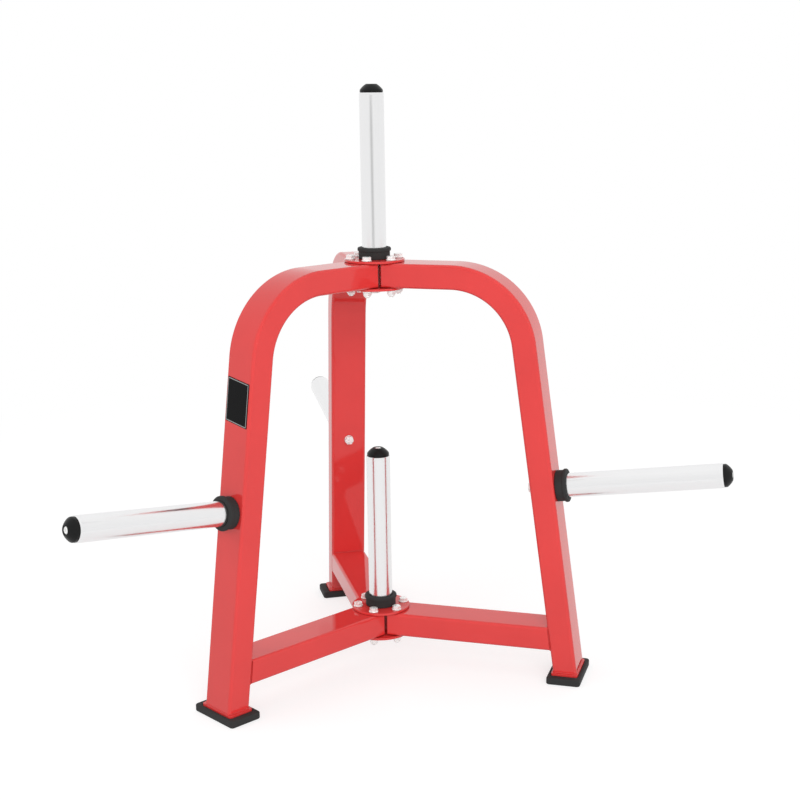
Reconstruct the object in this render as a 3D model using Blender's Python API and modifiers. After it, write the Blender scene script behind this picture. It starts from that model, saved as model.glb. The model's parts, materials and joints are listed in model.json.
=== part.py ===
"""Free-standing rack for bumper plates: three bent legs, two bolted hubs and five plate pegs.

Metres, +Z up. The origin is on the floor, under the middle of the rack's outer box.
The rear leg points along +Y, and the two front legs lie 120 degrees to either side of it.
"""

import math

import bmesh
import bpy
from mathutils import Matrix, Vector

# Driving dimensions, in metres, and angles in degrees

# Frame tube, one rectangular section for the legs and the stretchers
TUBE_WIDTH = 0.080
TUBE_DEPTH = 0.050
TUBE_WALL = 0.003
TUBE_CORNER_RADIUS = 0.006

# Legs, each one tube that leaves the top hub level and bends down to its foot
LEG_NAMES = ("rear", "left", "right")
REAR_AZIMUTH = 90.0
TOP_HEIGHT = 0.865
BEND_START = 0.170
BEND_RADIUS = 0.153
SPLAY_ANGLE = 7.5

# Stretchers, from the lower hub to each leg's inner face
STRETCHER_TOP = 0.115

# Hubs, where the three tube ends meet between two round plates
MITRE_GAP = 0.006
HUB_PLATE_DIAMETER = 0.125
HUB_PLATE_THICKNESS = 0.005
HUB_BOLT_CIRCLE = 0.100
HUB_BOLTS_PER_LEG = 2

# Hub bolts with their washers and lock nuts
HUB_BOLT_DIAMETER = 0.010
HUB_BOLT_HOLE = 0.011
HUB_BOLT_FLATS = 0.016
HUB_BOLT_HEAD = 0.0064
HUB_NUT_HEIGHT = 0.0095
HUB_WASHER_DIAMETER = 0.020
HUB_WASHER_THICKNESS = 0.002
HUB_BOLT_END = 0.0025

# Plate pegs: the hubs' stand upright, and the legs' are square to their legs
PEG_DIAMETER = 0.050
PEG_WALL = 0.003
HUB_PEG_LENGTH = 0.332
SIDE_PEG_LENGTH = 0.338
SIDE_PEG_HEIGHT = 0.412
ROOT_PLUG_THICKNESS = 0.022
ROOT_PLUG_CHAMFER = 0.0015
END_WEB_DEPTH = 0.024
END_WEB_THICKNESS = 0.006

# Peg bolts, which clamp each peg from the far side of its hub or leg
PEG_BOLT_DIAMETER = 0.012
PEG_BOLT_HOLE = 0.0132
PEG_BOLT_FLATS = 0.018
PEG_BOLT_HEAD = 0.0075
PEG_BOLT_GRIP = 0.018
PEG_WASHER_DIAMETER = 0.024
PEG_WASHER_THICKNESS = 0.0025

# Rubber collars at the pegs' roots
COLLAR_DIAMETER = 0.0666
COLLAR_LIP_DIAMETER = 0.0686
COLLAR_HEIGHT = 0.023
COLLAR_LIP_HEIGHT = 0.008
COLLAR_ROUNDING = 0.0025

# Domed end caps and the screws that hold them
CAP_DIAMETER = 0.0478
CAP_HEIGHT = 0.017
CAP_FLAT_DIAMETER = 0.0172
CAP_SPIGOT_LENGTH = 0.012
CAP_RECESS_DIAMETER = 0.0150
CAP_RECESS_DEPTH = 0.0068
CAP_SCREW_DIAMETER = 0.008
CAP_SCREW_HEAD_DIAMETER = 0.0130
CAP_SCREW_HEAD = 0.0052
CAP_SCREW_HOLE = 0.0088
CAP_SCREW_END = 0.004

# Feet: a welded steel plate under each leg, let into a rubber foot
FOOT_PLATE_SIDE = 0.007
FOOT_PLATE_END = 0.0028
FOOT_PLATE_THICKNESS = 0.006
FOOT_PLATE_CORNER = 0.006
FOOT_RIM_SIDE = 0.015
FOOT_RIM_END = 0.0075
FOOT_HEIGHT = 0.015
FOOT_RECESS = 0.002
FOOT_CORNER = 0.010
FOOT_EDGE = 0.003

# Clearances: between pieces that touch, and round a plate in its recess
SEAT = 0.0003
RECESS_CLEARANCE = 0.0006

# Faces round a turned piece, a bolt hole and a tube's corner, and along a leg's bend
TURNED_FACES = 20
PLATE_FACES = 30
WASHER_FACES = 12
HOLE_FACES = 8
CORNER_STEPS = 2
BEND_STEPS = 14
DOME_STEPS = 4

# Surfaces: colour, roughness and metallic value
SURFACES = {
    "red_powder_coat": ((0.68, 0.035, 0.034), 0.32, 0.0),
    "chrome_plate": ((0.80, 0.80, 0.81), 0.08, 1.0),
    "black_rubber": ((0.022, 0.023, 0.024), 0.62, 0.0),
    "black_plastic": ((0.018, 0.018, 0.020), 0.38, 0.0),
    "zinc_steel": ((0.62, 0.63, 0.64), 0.28, 1.0),
    "plain_steel": ((0.38, 0.38, 0.39), 0.45, 1.0),
}

# Places that follow from the sizes above

SPLAY = math.radians(SPLAY_ANGLE)
LEG_SECTOR = 2 * math.pi / len(LEG_NAMES)
OUTER_BEND = BEND_RADIUS + TUBE_DEPTH / 2
INNER_BEND = BEND_RADIUS - TUBE_DEPTH / 2
BEND_CENTRE = Vector((BEND_START, 0, TOP_HEIGHT - OUTER_BEND))
OUTWARD = Vector((math.cos(SPLAY), 0, math.sin(SPLAY)))
DOWNWARD = Vector((math.sin(SPLAY), 0, -math.cos(SPLAY)))

FOOT_PLATE_BOTTOM = FOOT_HEIGHT - FOOT_RECESS + SEAT
FOOT_PLATE_TOP = FOOT_PLATE_BOTTOM + FOOT_PLATE_THICKNESS
TUBE_BOTTOM = FOOT_PLATE_TOP + SEAT
HUB_STACK = TUBE_DEPTH + 2 * (HUB_PLATE_THICKNESS + SEAT)
BEYOND = 0.02


def leg_face_radius(bend, height):
    """Distance from the hub axis to a leg face at a height, on its straight lower part."""
    tangent = BEND_CENTRE + OUTWARD * bend
    return tangent.x + (tangent.z - height) * math.tan(SPLAY)


def peg_seat_radius():
    return leg_face_radius(OUTER_BEND, SIDE_PEG_HEIGHT) + SEAT * OUTWARD.x


def hub_offset():
    """How far the hub axis stands behind the middle of the rack's outer box."""
    seat = peg_seat_radius()
    rear_reach = seat + (SIDE_PEG_LENGTH + CAP_HEIGHT) * math.cos(SPLAY)
    peg_end = seat + SIDE_PEG_LENGTH * math.cos(SPLAY)
    front_reach = peg_end * math.cos(LEG_SECTOR / 2) + PEG_DIAMETER / 2 * math.sin(LEG_SECTOR / 2)
    return (front_reach - rear_reach) / 2


# Scene, collections, materials and placing

def clear_scene():
    for obj in list(bpy.data.objects):
        bpy.data.objects.remove(obj, do_unlink=True)


def new_collection(name):
    collection = bpy.data.collections.new(name)
    bpy.context.scene.collection.children.link(collection)
    return collection


def make_materials():
    made = {}
    for name, (colour, roughness, metallic) in SURFACES.items():
        material = bpy.data.materials.new(name)
        material.use_nodes = True
        shader = material.node_tree.nodes["Principled BSDF"]
        shader.inputs["Base Color"].default_value = (*colour, 1.0)
        shader.inputs["Roughness"].default_value = roughness
        shader.inputs["Metallic"].default_value = metallic
        material.diffuse_color = (*colour, 1.0)
        made[name] = material
    return made


def empty(name, parent=None, location=(0, 0, 0), rotation=(0, 0, 0)):
    obj = bpy.data.objects.new(name, None)
    parts.objects.link(obj)
    obj.parent = parent
    obj.location = location
    obj.rotation_euler = rotation
    return obj


def place(name, mesh, surface, parent, location=(0, 0, 0), rotation=(0, 0, 0)):
    """Put a piece in the rack. Repeated pieces share one mesh."""
    if not mesh.materials:
        mesh.materials.append(materials[surface])
    obj = bpy.data.objects.new(name, mesh)
    parts.objects.link(obj)
    obj.parent = parent
    obj.location = location
    obj.rotation_euler = rotation
    return obj


# Ways to make a solid

def finished(obj, *helpers):
    """The mesh of an object with its modifiers, shaded smooth but for its sharp edges."""
    bpy.context.view_layer.update()
    depsgraph = bpy.context.evaluated_depsgraph_get()
    mesh = bpy.data.meshes.new_from_object(obj.evaluated_get(depsgraph))
    mesh.name = obj.name
    mesh.shade_smooth()
    mesh.set_sharp_from_angle(angle=math.radians(35))
    for used in (obj, *helpers):
        bpy.data.objects.remove(used, do_unlink=True)
    return mesh


def workpiece(name, mesh):
    obj = bpy.data.objects.new(name, mesh)
    parts.objects.link(obj)
    return obj


def cutter(mesh, matrix=None):
    obj = bpy.data.objects.new("cutter", mesh)
    obj.hide_render = True
    obj.display_type = "WIRE"
    if matrix:
        obj.matrix_world = matrix
    cutters.objects.link(obj)
    return obj


def combined(mesh, tools, operation="DIFFERENCE"):
    """Cut tools from a mesh, or join them to it."""
    obj = workpiece(mesh.name, mesh)
    for tool in tools:
        boolean = obj.modifiers.new("boolean", "BOOLEAN")
        boolean.operation = operation
        boolean.solver = "EXACT"
        boolean.object = tool
    return finished(obj, *tools)


def cylinder(name, diameter, bottom, top, faces):
    form = bmesh.new()
    bmesh.ops.create_cone(
        form,
        cap_ends=True,
        segments=faces,
        radius1=diameter / 2,
        radius2=diameter / 2,
        depth=top - bottom,
        matrix=Matrix.Translation((0, 0, (top + bottom) / 2)),
    )
    mesh = bpy.data.meshes.new(name)
    form.to_mesh(mesh)
    form.free()
    return mesh


def hexagon(name, across_flats, bottom, top):
    return cylinder(name, across_flats / math.cos(math.pi / 6), bottom, top, 6)


def block(name, low, high):
    form = bmesh.new()
    size = Vector(high) - Vector(low)
    middle = (Vector(high) + Vector(low)) / 2
    bmesh.ops.create_cube(form, size=1, matrix=Matrix.LocRotScale(middle, None, size))
    mesh = bpy.data.meshes.new(name)
    form.to_mesh(mesh)
    form.free()
    return mesh


def turned(name, profile, faces=TURNED_FACES):
    """Turn a closed profile of (radius, height) points round Z. It runs down its outer side."""
    mesh = bpy.data.meshes.new(name)
    count = len(profile)
    edges = [(i, (i + 1) % count) for i in range(count)]
    mesh.from_pydata([(radius, 0, height) for radius, height in profile], edges, [])
    obj = workpiece(name, mesh)
    screw = obj.modifiers.new("turn", "SCREW")
    screw.steps = faces
    screw.render_steps = faces
    screw.use_merge_vertices = True
    screw.merge_threshold = 0.00001
    return finished(obj)


def arc(centre, radius, start, end, steps):
    """Points of an arc in a plane, from one angle to another, both ends included."""
    angles = (start + (end - start) * i / steps for i in range(steps + 1))
    return [(centre[0] + radius * math.cos(a), centre[1] + radius * math.sin(a)) for a in angles]


def rounded_rectangle(width, depth, corner, steps=CORNER_STEPS):
    points = []
    for quarter, (side, end) in enumerate(((1, 1), (-1, 1), (-1, -1), (1, -1))):
        centre = (side * (width / 2 - corner), end * (depth / 2 - corner))
        start = quarter * math.pi / 2
        points += arc(centre, corner, start, start + math.pi / 2, steps)
    return points


def outline_curve(name, loops):
    curve = bpy.data.curves.new(name, "CURVE")
    curve.dimensions = "2D"
    curve.fill_mode = "BOTH"
    for loop in loops:
        spline = curve.splines.new("POLY")
        spline.points.add(len(loop) - 1)
        for point, (x, y) in zip(spline.points, loop):
            point.co = (x, y, 0, 1)
        spline.use_cyclic_u = True
    return curve


def mesh_of_curve(curve, *helpers):
    """The closed mesh of a curve, its caps welded to its sides."""
    obj = workpiece(curve.name, curve)
    mesh = finished(obj, *helpers)
    form = bmesh.new()
    form.from_mesh(mesh)
    bmesh.ops.remove_doubles(form, verts=form.verts, dist=0.00001)
    bmesh.ops.recalc_face_normals(form, faces=form.faces)
    form.to_mesh(mesh)
    form.free()
    return mesh


def extruded(name, loops, bottom, top):
    """A flat outline, with any holes as further loops, raised between two heights."""
    curve = outline_curve(name, loops)
    curve.extrude = (top - bottom) / 2
    mesh = mesh_of_curve(curve)
    mesh.transform(Matrix.Translation((0, 0, (top + bottom) / 2)))
    return mesh


def swept(name, path, loop):
    """Sweep a closed section along a path in the X-Z plane, with its ends capped."""
    section = workpiece("section", outline_curve("section", [loop]))
    curve = bpy.data.curves.new(name, "CURVE")
    curve.dimensions = "3D"
    curve.twist_mode = "Z_UP"
    curve.bevel_mode = "OBJECT"
    curve.bevel_object = section
    curve.use_fill_caps = True
    spline = curve.splines.new("POLY")
    spline.points.add(len(path) - 1)
    for point, (x, z) in zip(spline.points, path):
        point.co = (x, 0, z, 1)
    return mesh_of_curve(curve, section)


# Frame tubes

def mitre_cutter(bottom, top):
    """What a tube end gives up at a hub: its neighbours' sectors, the seam between, the bolt."""
    half = LEG_SECTOR / 2
    arm = TUBE_WIDTH
    tip = MITRE_GAP / 2 / math.sin(half)
    back = -arm
    wide = (tip + arm / math.tan(half), arm)
    wedge = [(tip, 0), wide, (back, arm), (back, -arm), (wide[0], -wide[1])]
    bolt = cylinder("bolt_room", PEG_BOLT_HOLE, bottom, top, HOLE_FACES)
    return [cutter(extruded("mitre", [wedge], bottom, top)), cutter(bolt)]


def hub_hole_cutters(bottom, top):
    """The bolt holes that one tube end has at its hub."""
    tools = []
    for index in range(HUB_BOLTS_PER_LEG):
        hole = cylinder("hole", HUB_BOLT_HOLE, bottom, top, HOLE_FACES)
        turn = Matrix.Rotation(hub_bolt_angle(index), 4, "Z")
        tools.append(cutter(hole, turn @ Matrix.Translation((HUB_BOLT_CIRCLE / 2, 0, 0))))
    return tools


def hub_bolt_angle(index):
    """Angle of one of a leg's hub bolts from the leg's own direction."""
    return ((index + 0.5) / HUB_BOLTS_PER_LEG - 0.5) * LEG_SECTOR


def leg_path(first, last):
    """Centreline of a leg tube: level run, bend, and the splayed run down to a height."""
    centre = (BEND_CENTRE.x, BEND_CENTRE.z)
    path = [(first, TOP_HEIGHT - TUBE_DEPTH / 2)]
    path += arc(centre, BEND_RADIUS, math.pi / 2, SPLAY, BEND_STEPS)
    end_x, end_z = path[-1]
    path.append((end_x + (end_z - last) * math.tan(SPLAY), last))
    return path


def leg_tube_mesh():
    outside = rounded_rectangle(TUBE_WIDTH, TUBE_DEPTH, TUBE_CORNER_RADIUS)
    inside = rounded_rectangle(
        TUBE_WIDTH - 2 * TUBE_WALL,
        TUBE_DEPTH - 2 * TUBE_WALL,
        max(TUBE_CORNER_RADIUS - TUBE_WALL, TUBE_WALL / 4),
        CORNER_STEPS - 1,
    )
    bar = swept("leg_tube", leg_path(-TUBE_DEPTH, TUBE_BOTTOM - BEYOND), outside)
    bore = swept("bore", leg_path(-2 * TUBE_DEPTH, TUBE_BOTTOM - 2 * BEYOND), inside)
    bottom, top = TOP_HEIGHT - TUBE_DEPTH - BEYOND, TOP_HEIGHT + BEYOND
    reach = 2 * leg_face_radius(OUTER_BEND, 0)
    floor = block("floor", (0, -TUBE_WIDTH, -TUBE_DEPTH), (reach, TUBE_WIDTH, TUBE_BOTTOM))
    peg_hole = cylinder("hole", PEG_BOLT_HOLE, -TUBE_DEPTH - BEYOND, BEYOND, HOLE_FACES)
    tools = [cutter(bore), cutter(floor), cutter(peg_hole, side_peg_matrix())]
    tools += mitre_cutter(bottom, top) + hub_hole_cutters(bottom, top)
    return combined(bar, tools)


def stretcher_mesh():
    """A straight tube, mitred at the hub and cut to the leg's splay at its outer end."""
    outside = rounded_rectangle(TUBE_WIDTH, TUBE_DEPTH, TUBE_CORNER_RADIUS)
    inside = rounded_rectangle(
        TUBE_WIDTH - 2 * TUBE_WALL,
        TUBE_DEPTH - 2 * TUBE_WALL,
        max(TUBE_CORNER_RADIUS - TUBE_WALL, TUBE_WALL / 4),
        CORNER_STEPS - 1,
    )
    length = leg_face_radius(INNER_BEND, 0) + BEYOND
    tube = extruded("stretcher", [outside, inside], -TUBE_DEPTH, length)
    upright = Matrix.Rotation(math.pi / 2, 4, "Y") @ Matrix.Rotation(math.pi / 2, 4, "Z")
    level = Matrix.Translation((0, 0, STRETCHER_TOP - TUBE_DEPTH / 2))
    tube.transform(level @ upright)
    bottom, top = STRETCHER_TOP - TUBE_DEPTH - BEYOND, STRETCHER_TOP + BEYOND
    size = TUBE_WIDTH + TUBE_DEPTH
    leg_space = block("leg_space", (-SEAT, -size, -size), (size, size, size))
    face = Vector((leg_face_radius(INNER_BEND, STRETCHER_TOP), 0, STRETCHER_TOP))
    splayed = Matrix.Translation(face) @ Matrix.Rotation(-SPLAY, 4, "Y")
    tools = [cutter(leg_space, splayed)]
    tools += mitre_cutter(bottom, top) + hub_hole_cutters(bottom, top)
    return combined(tube, tools)


# Feet

def foot_plate_size():
    level_depth = TUBE_DEPTH / math.cos(SPLAY)
    return level_depth + 2 * FOOT_PLATE_END, TUBE_WIDTH + 2 * FOOT_PLATE_SIDE


def foot_plate_mesh():
    length, width = foot_plate_size()
    outline = rounded_rectangle(length, width, FOOT_PLATE_CORNER)
    return extruded("foot_plate", [outline], FOOT_PLATE_BOTTOM, FOOT_PLATE_TOP)


def rubber_foot_mesh():
    """A rubber pad with softened edges and a recess that holds the foot plate."""
    length, width = foot_plate_size()
    outline = rounded_rectangle(
        length + 2 * FOOT_RIM_END, width + 2 * FOOT_RIM_SIDE, FOOT_CORNER
    )
    pad = workpiece("rubber_foot", extruded("rubber_foot", [outline], 0, FOOT_HEIGHT))
    bevel = pad.modifiers.new("soft_edges", "BEVEL")
    bevel.width = FOOT_EDGE
    bevel.segments = 2
    bevel.limit_method = "ANGLE"
    bevel.angle_limit = math.radians(60)
    recess = rounded_rectangle(
        length + 2 * RECESS_CLEARANCE, width + 2 * RECESS_CLEARANCE, FOOT_PLATE_CORNER
    )
    floor = FOOT_HEIGHT - FOOT_RECESS
    return combined(
        finished(pad), [cutter(extruded("recess", [recess], floor, FOOT_HEIGHT + BEYOND))]
    )


# Hub plates and hub bolts

def hub_plate_mesh():
    """A round plate, its faces at heights 0 and its thickness, with the hub's bolt holes."""
    radius, bore = HUB_PLATE_DIAMETER / 2, PEG_BOLT_HOLE / 2
    high = HUB_PLATE_THICKNESS
    profile = [(bore, high), (radius, high), (radius, 0), (bore, 0)]
    plate = turned("hub_plate", profile, PLATE_FACES)
    tools = []
    for leg in range(len(LEG_NAMES)):
        for tool in hub_hole_cutters(-BEYOND, high + BEYOND):
            tool.matrix_world = Matrix.Rotation(leg_angle(leg), 4, "Z") @ tool.matrix_world
            tools.append(tool)
    return combined(plate, tools)


def hub_bolt_mesh():
    """A through bolt, its head's seat at height 0, with both washers and its lock nut."""
    joint = -HUB_STACK
    sink = HUB_WASHER_THICKNESS / 4
    head_seat = SEAT + HUB_WASHER_THICKNESS
    nut_seat = joint - SEAT - HUB_WASHER_THICKNESS
    nut_end = nut_seat - HUB_NUT_HEIGHT
    shank_end = nut_end - HUB_BOLT_END
    shank_top = head_seat + HUB_BOLT_HEAD / 2
    upper = cylinder("washer", HUB_WASHER_DIAMETER, SEAT, head_seat, WASHER_FACES)
    lower = cylinder("washer", HUB_WASHER_DIAMETER, nut_seat, joint - SEAT, WASHER_FACES)
    head = hexagon("head", HUB_BOLT_FLATS, head_seat - sink, head_seat + HUB_BOLT_HEAD)
    nut = hexagon("nut", HUB_BOLT_FLATS, nut_end, nut_seat + sink)
    shank = cylinder("hub_bolt", HUB_BOLT_DIAMETER, shank_end, shank_top, HOLE_FACES)
    return combined(shank, [cutter(mesh) for mesh in (upper, head, lower, nut)], "UNION")


# Plate pegs, each with its root seat at height 0 and its axis along Z

def peg_tube_mesh(name, length):
    """A tube with a web welded inside its outer end, which takes the cap's screw."""
    outer, inner = PEG_DIAMETER / 2, PEG_DIAMETER / 2 - PEG_WALL
    screw = CAP_SCREW_HOLE / 2
    web_top = length - END_WEB_DEPTH
    web_bottom = web_top - END_WEB_THICKNESS
    return turned(name, [
        (outer, length), (outer, 0), (inner, 0), (inner, web_bottom), (screw, web_bottom),
        (screw, web_top), (inner, web_top), (inner, length),
    ])


def root_plug_mesh():
    """The steel plug inside a peg's root, which the peg bolt screws into."""
    outer, bore = PEG_DIAMETER / 2 - PEG_WALL - SEAT, PEG_BOLT_DIAMETER / 2 + SEAT
    high = ROOT_PLUG_THICKNESS
    edge = ROOT_PLUG_CHAMFER
    profile = [(bore, high), (outer - edge, high), (outer, high - edge), (outer, 0), (bore, 0)]
    return turned("peg_plug", profile, WASHER_FACES)


def collar_mesh():
    """A rubber collar round the peg's root, with a rounded lip that the plates rest on."""
    bore = PEG_DIAMETER / 2 + SEAT
    body, lip = COLLAR_DIAMETER / 2, COLLAR_LIP_DIAMETER / 2
    round_over = COLLAR_ROUNDING
    lip_low = COLLAR_HEIGHT - COLLAR_LIP_HEIGHT
    middle = (lip - round_over, COLLAR_HEIGHT - round_over)
    edge = arc(middle, round_over, math.pi / 2, 0, 2)
    return turned("peg_collar", [
        (bore, COLLAR_HEIGHT), *edge,
        (lip, lip_low + (lip - body)), (body, lip_low),
        (body, 0), (bore, 0),
    ])


def cap_mesh():
    """A domed plastic cap with a flat, recessed top and a spigot inside the peg."""
    base, flat = CAP_DIAMETER / 2, CAP_FLAT_DIAMETER / 2
    rise = CAP_HEIGHT / math.sqrt(1 - (flat / base) ** 2)
    top_angle = math.acos(flat / base)
    angles = [top_angle * (1 - i / DOME_STEPS) for i in range(DOME_STEPS + 1)]
    dome = [(base * math.cos(a), SEAT + rise * math.sin(a)) for a in angles]
    high = dome[0][1]
    recess, bore = CAP_RECESS_DIAMETER / 2, CAP_SCREW_HOLE / 2
    floor = high - CAP_RECESS_DEPTH
    spigot = PEG_DIAMETER / 2 - PEG_WALL - SEAT
    return turned("peg_cap", [
        *dome, (spigot, SEAT), (spigot, -CAP_SPIGOT_LENGTH), (bore, -CAP_SPIGOT_LENGTH),
        (bore, floor), (recess, floor), (recess, high),
    ])


def cap_screw_mesh():
    """The screw in a cap's recess, long enough to pass the web inside the peg."""
    seat = SEAT + CAP_HEIGHT - CAP_RECESS_DEPTH + SEAT
    tip = -END_WEB_DEPTH - END_WEB_THICKNESS - CAP_SCREW_END
    head = cylinder("head", CAP_SCREW_HEAD_DIAMETER, seat, seat + CAP_SCREW_HEAD, WASHER_FACES)
    shank = cylinder("cap_screw", CAP_SCREW_DIAMETER, tip, seat + CAP_SCREW_HEAD / 2, HOLE_FACES)
    return combined(shank, [cutter(head)], "UNION")


def peg_bolt_mesh(name, joint):
    """A bolt with its washer, through a joint of a given thickness and into the root plug."""
    under = -joint - SEAT
    washer_end = under - PEG_WASHER_THICKNESS
    sink = PEG_WASHER_THICKNESS / 4
    washer = cylinder("washer", PEG_WASHER_DIAMETER, washer_end, under, WASHER_FACES)
    head = hexagon("head", PEG_BOLT_FLATS, washer_end - PEG_BOLT_HEAD, washer_end + sink)
    shank = cylinder(name, PEG_BOLT_DIAMETER, washer_end - PEG_BOLT_HEAD / 2, PEG_BOLT_GRIP,
                     HOLE_FACES)
    return combined(shank, [cutter(washer), cutter(head)], "UNION")


# Assembly

def leg_angle(index):
    """A leg's turn from the rear leg."""
    return index * LEG_SECTOR


def side_peg_matrix():
    """Where a side peg stands on its leg's outer face, square to it."""
    seat = Vector((peg_seat_radius(), 0, SIDE_PEG_HEIGHT + SEAT * OUTWARD.z))
    return Matrix.Translation(seat) @ Matrix.Rotation(math.pi / 2 - SPLAY, 4, "Y")


def add_legs(hub_axis):
    leg_tube = leg_tube_mesh()
    stretcher = stretcher_mesh()
    foot_plate = foot_plate_mesh()
    rubber_foot = rubber_foot_mesh()
    middle = leg_face_radius(BEND_RADIUS, FOOT_PLATE_TOP)
    legs = {}
    for index, name in enumerate(LEG_NAMES):
        turn = math.radians(REAR_AZIMUTH) + leg_angle(index)
        leg = empty(name + "_leg", hub_axis, rotation=(0, 0, turn))
        place(name + "_leg_tube", leg_tube, "red_powder_coat", leg)
        place(name + "_stretcher", stretcher, "red_powder_coat", leg)
        place(name + "_foot_plate", foot_plate, "red_powder_coat", leg, (middle, 0, 0))
        place(name + "_rubber_foot", rubber_foot, "black_rubber", leg, (middle, 0, 0))
        legs[name] = leg
    return legs


def add_hub(name, tube_top, hub_axis, plate, bolt):
    upper = tube_top + SEAT
    lower = tube_top - TUBE_DEPTH - SEAT - HUB_PLATE_THICKNESS
    turn = math.radians(REAR_AZIMUTH)
    place(name + "_upper_plate", plate, "red_powder_coat", hub_axis, (0, 0, upper), (0, 0, turn))
    place(name + "_lower_plate", plate, "red_powder_coat", hub_axis, (0, 0, lower), (0, 0, turn))
    top = upper + HUB_PLATE_THICKNESS
    number = 0
    for leg in range(len(LEG_NAMES)):
        for index in range(HUB_BOLTS_PER_LEG):
            angle = turn + leg_angle(leg) + hub_bolt_angle(index)
            spot = Matrix.Rotation(angle, 3, "Z") @ Vector((HUB_BOLT_CIRCLE / 2, 0, top))
            number += 1
            place(f"{name}_bolt_{number}", bolt, "zinc_steel", hub_axis, spot, (0, 0, angle))
    return empty(name + "_peg_seat", hub_axis, (0, 0, top + SEAT))


def add_peg(name, seat, length, tube, bolt, meshes):
    place(name + "_tube", tube, "chrome_plate", seat)
    place(name + "_plug", meshes["plug"], "plain_steel", seat)
    place(name + "_collar", meshes["collar"], "black_rubber", seat)
    place(name + "_cap", meshes["cap"], "black_plastic", seat, (0, 0, length))
    place(name + "_cap_screw", meshes["cap_screw"], "zinc_steel", seat, (0, 0, length))
    place(name + "_bolt", bolt, "zinc_steel", seat)


def build():
    hub_axis = empty("hub_axis", location=(0, hub_offset(), 0))
    legs = add_legs(hub_axis)
    plate = hub_plate_mesh()
    hub_bolt = hub_bolt_mesh()
    pegs = {
        "plug": root_plug_mesh(),
        "collar": collar_mesh(),
        "cap": cap_mesh(),
        "cap_screw": cap_screw_mesh(),
    }
    long_tube = peg_tube_mesh("side_peg_tube", SIDE_PEG_LENGTH)
    short_tube = peg_tube_mesh("hub_peg_tube", HUB_PEG_LENGTH)
    long_bolt = peg_bolt_mesh("hub_peg_bolt", HUB_STACK + SEAT)
    short_bolt = peg_bolt_mesh("side_peg_bolt", TUBE_DEPTH + SEAT)
    top_seat = add_hub("top_hub", TOP_HEIGHT, hub_axis, plate, hub_bolt)
    base_seat = add_hub("base_hub", STRETCHER_TOP, hub_axis, plate, hub_bolt)
    add_peg("top_peg", top_seat, HUB_PEG_LENGTH, short_tube, long_bolt, pegs)
    add_peg("base_peg", base_seat, HUB_PEG_LENGTH, short_tube, long_bolt, pegs)
    for name, leg in legs.items():
        seat = empty(name + "_peg_seat", leg)
        seat.matrix_local = side_peg_matrix()
        add_peg(name + "_peg", seat, SIDE_PEG_LENGTH, long_tube, short_bolt, pegs)


clear_scene()
parts = new_collection("bumper_plate_rack")
cutters = new_collection("cutters")
materials = make_materials()
build()
bpy.context.view_layer.update()
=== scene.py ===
"""Fine pieces, finishes and studio of a bumper plate rack.

Metres, +Z up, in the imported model's own frame. What repeats on the three legs is made once, in a
leg's own frame: X points away from the hub axis, Y across the leg and Z up. It is then turned to
each leg. What repeats on the five pegs is made with its seat at height 0 and its axis along Z.
"""

import json
import math
import random

import bmesh
import bpy
from bpy.props import FloatProperty, FloatVectorProperty, IntProperty, PointerProperty
from mathutils import Matrix, Vector

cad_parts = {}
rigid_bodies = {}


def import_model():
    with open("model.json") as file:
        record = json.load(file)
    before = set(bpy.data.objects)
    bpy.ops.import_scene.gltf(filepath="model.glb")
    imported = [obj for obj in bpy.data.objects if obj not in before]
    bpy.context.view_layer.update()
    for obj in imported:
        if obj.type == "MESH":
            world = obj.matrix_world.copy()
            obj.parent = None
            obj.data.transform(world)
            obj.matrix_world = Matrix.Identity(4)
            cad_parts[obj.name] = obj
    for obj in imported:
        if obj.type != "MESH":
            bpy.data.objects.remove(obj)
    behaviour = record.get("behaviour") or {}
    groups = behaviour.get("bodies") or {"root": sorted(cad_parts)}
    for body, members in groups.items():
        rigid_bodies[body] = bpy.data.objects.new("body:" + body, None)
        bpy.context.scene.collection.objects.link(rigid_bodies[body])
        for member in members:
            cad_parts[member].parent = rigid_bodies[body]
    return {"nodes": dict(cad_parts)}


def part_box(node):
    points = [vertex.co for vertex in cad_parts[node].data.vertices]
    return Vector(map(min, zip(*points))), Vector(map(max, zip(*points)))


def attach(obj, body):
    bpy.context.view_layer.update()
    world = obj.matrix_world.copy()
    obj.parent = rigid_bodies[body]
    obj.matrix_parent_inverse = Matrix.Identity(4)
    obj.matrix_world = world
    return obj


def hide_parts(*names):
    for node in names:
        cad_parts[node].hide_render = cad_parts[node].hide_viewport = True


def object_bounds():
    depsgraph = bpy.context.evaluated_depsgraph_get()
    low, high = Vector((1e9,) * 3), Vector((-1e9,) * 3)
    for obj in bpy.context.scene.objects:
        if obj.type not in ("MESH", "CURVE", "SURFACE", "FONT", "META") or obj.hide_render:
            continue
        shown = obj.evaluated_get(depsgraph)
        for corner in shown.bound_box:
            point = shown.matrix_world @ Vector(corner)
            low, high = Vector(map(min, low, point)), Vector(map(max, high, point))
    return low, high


bl_info = {
    "name": "Bumper Plate Rack",
    "version": (1, 0, 0),
    "blender": (4, 5, 0),
    "location": "3D View > Sidebar > Plate Rack",
    "description": "Gives a plate rack its fine pieces, finishes and studio",
    "category": "Add Mesh",
}

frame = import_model()
CAD_LOW, CAD_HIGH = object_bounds()

LEG_NAMES = ("rear", "left", "right")
LEG_SECTOR = math.radians(120)
REAR_AZIMUTH = math.radians(90)
HUB_NAMES = ("top_hub", "base_hub")
HUB_PEGS = ("top_peg", "base_peg")
# Bolts in a hub, and how many of them go through each tube's end
HUB_BOLTS = 6
TUBE_BOLTS = 2

# Points nearer than this are one, and points nearer than this to the Z axis are on it
SAME_POINT = 1e-6
ON_AXIS = 1e-9
# Edges sharper than this stay sharp
SHARP_EDGE = math.radians(32)
# Each piece's grain starts elsewhere, so that like pieces don't look like copies
GRAIN_SHIFT = Vector((0.31, 0.17, 0.23))
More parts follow.
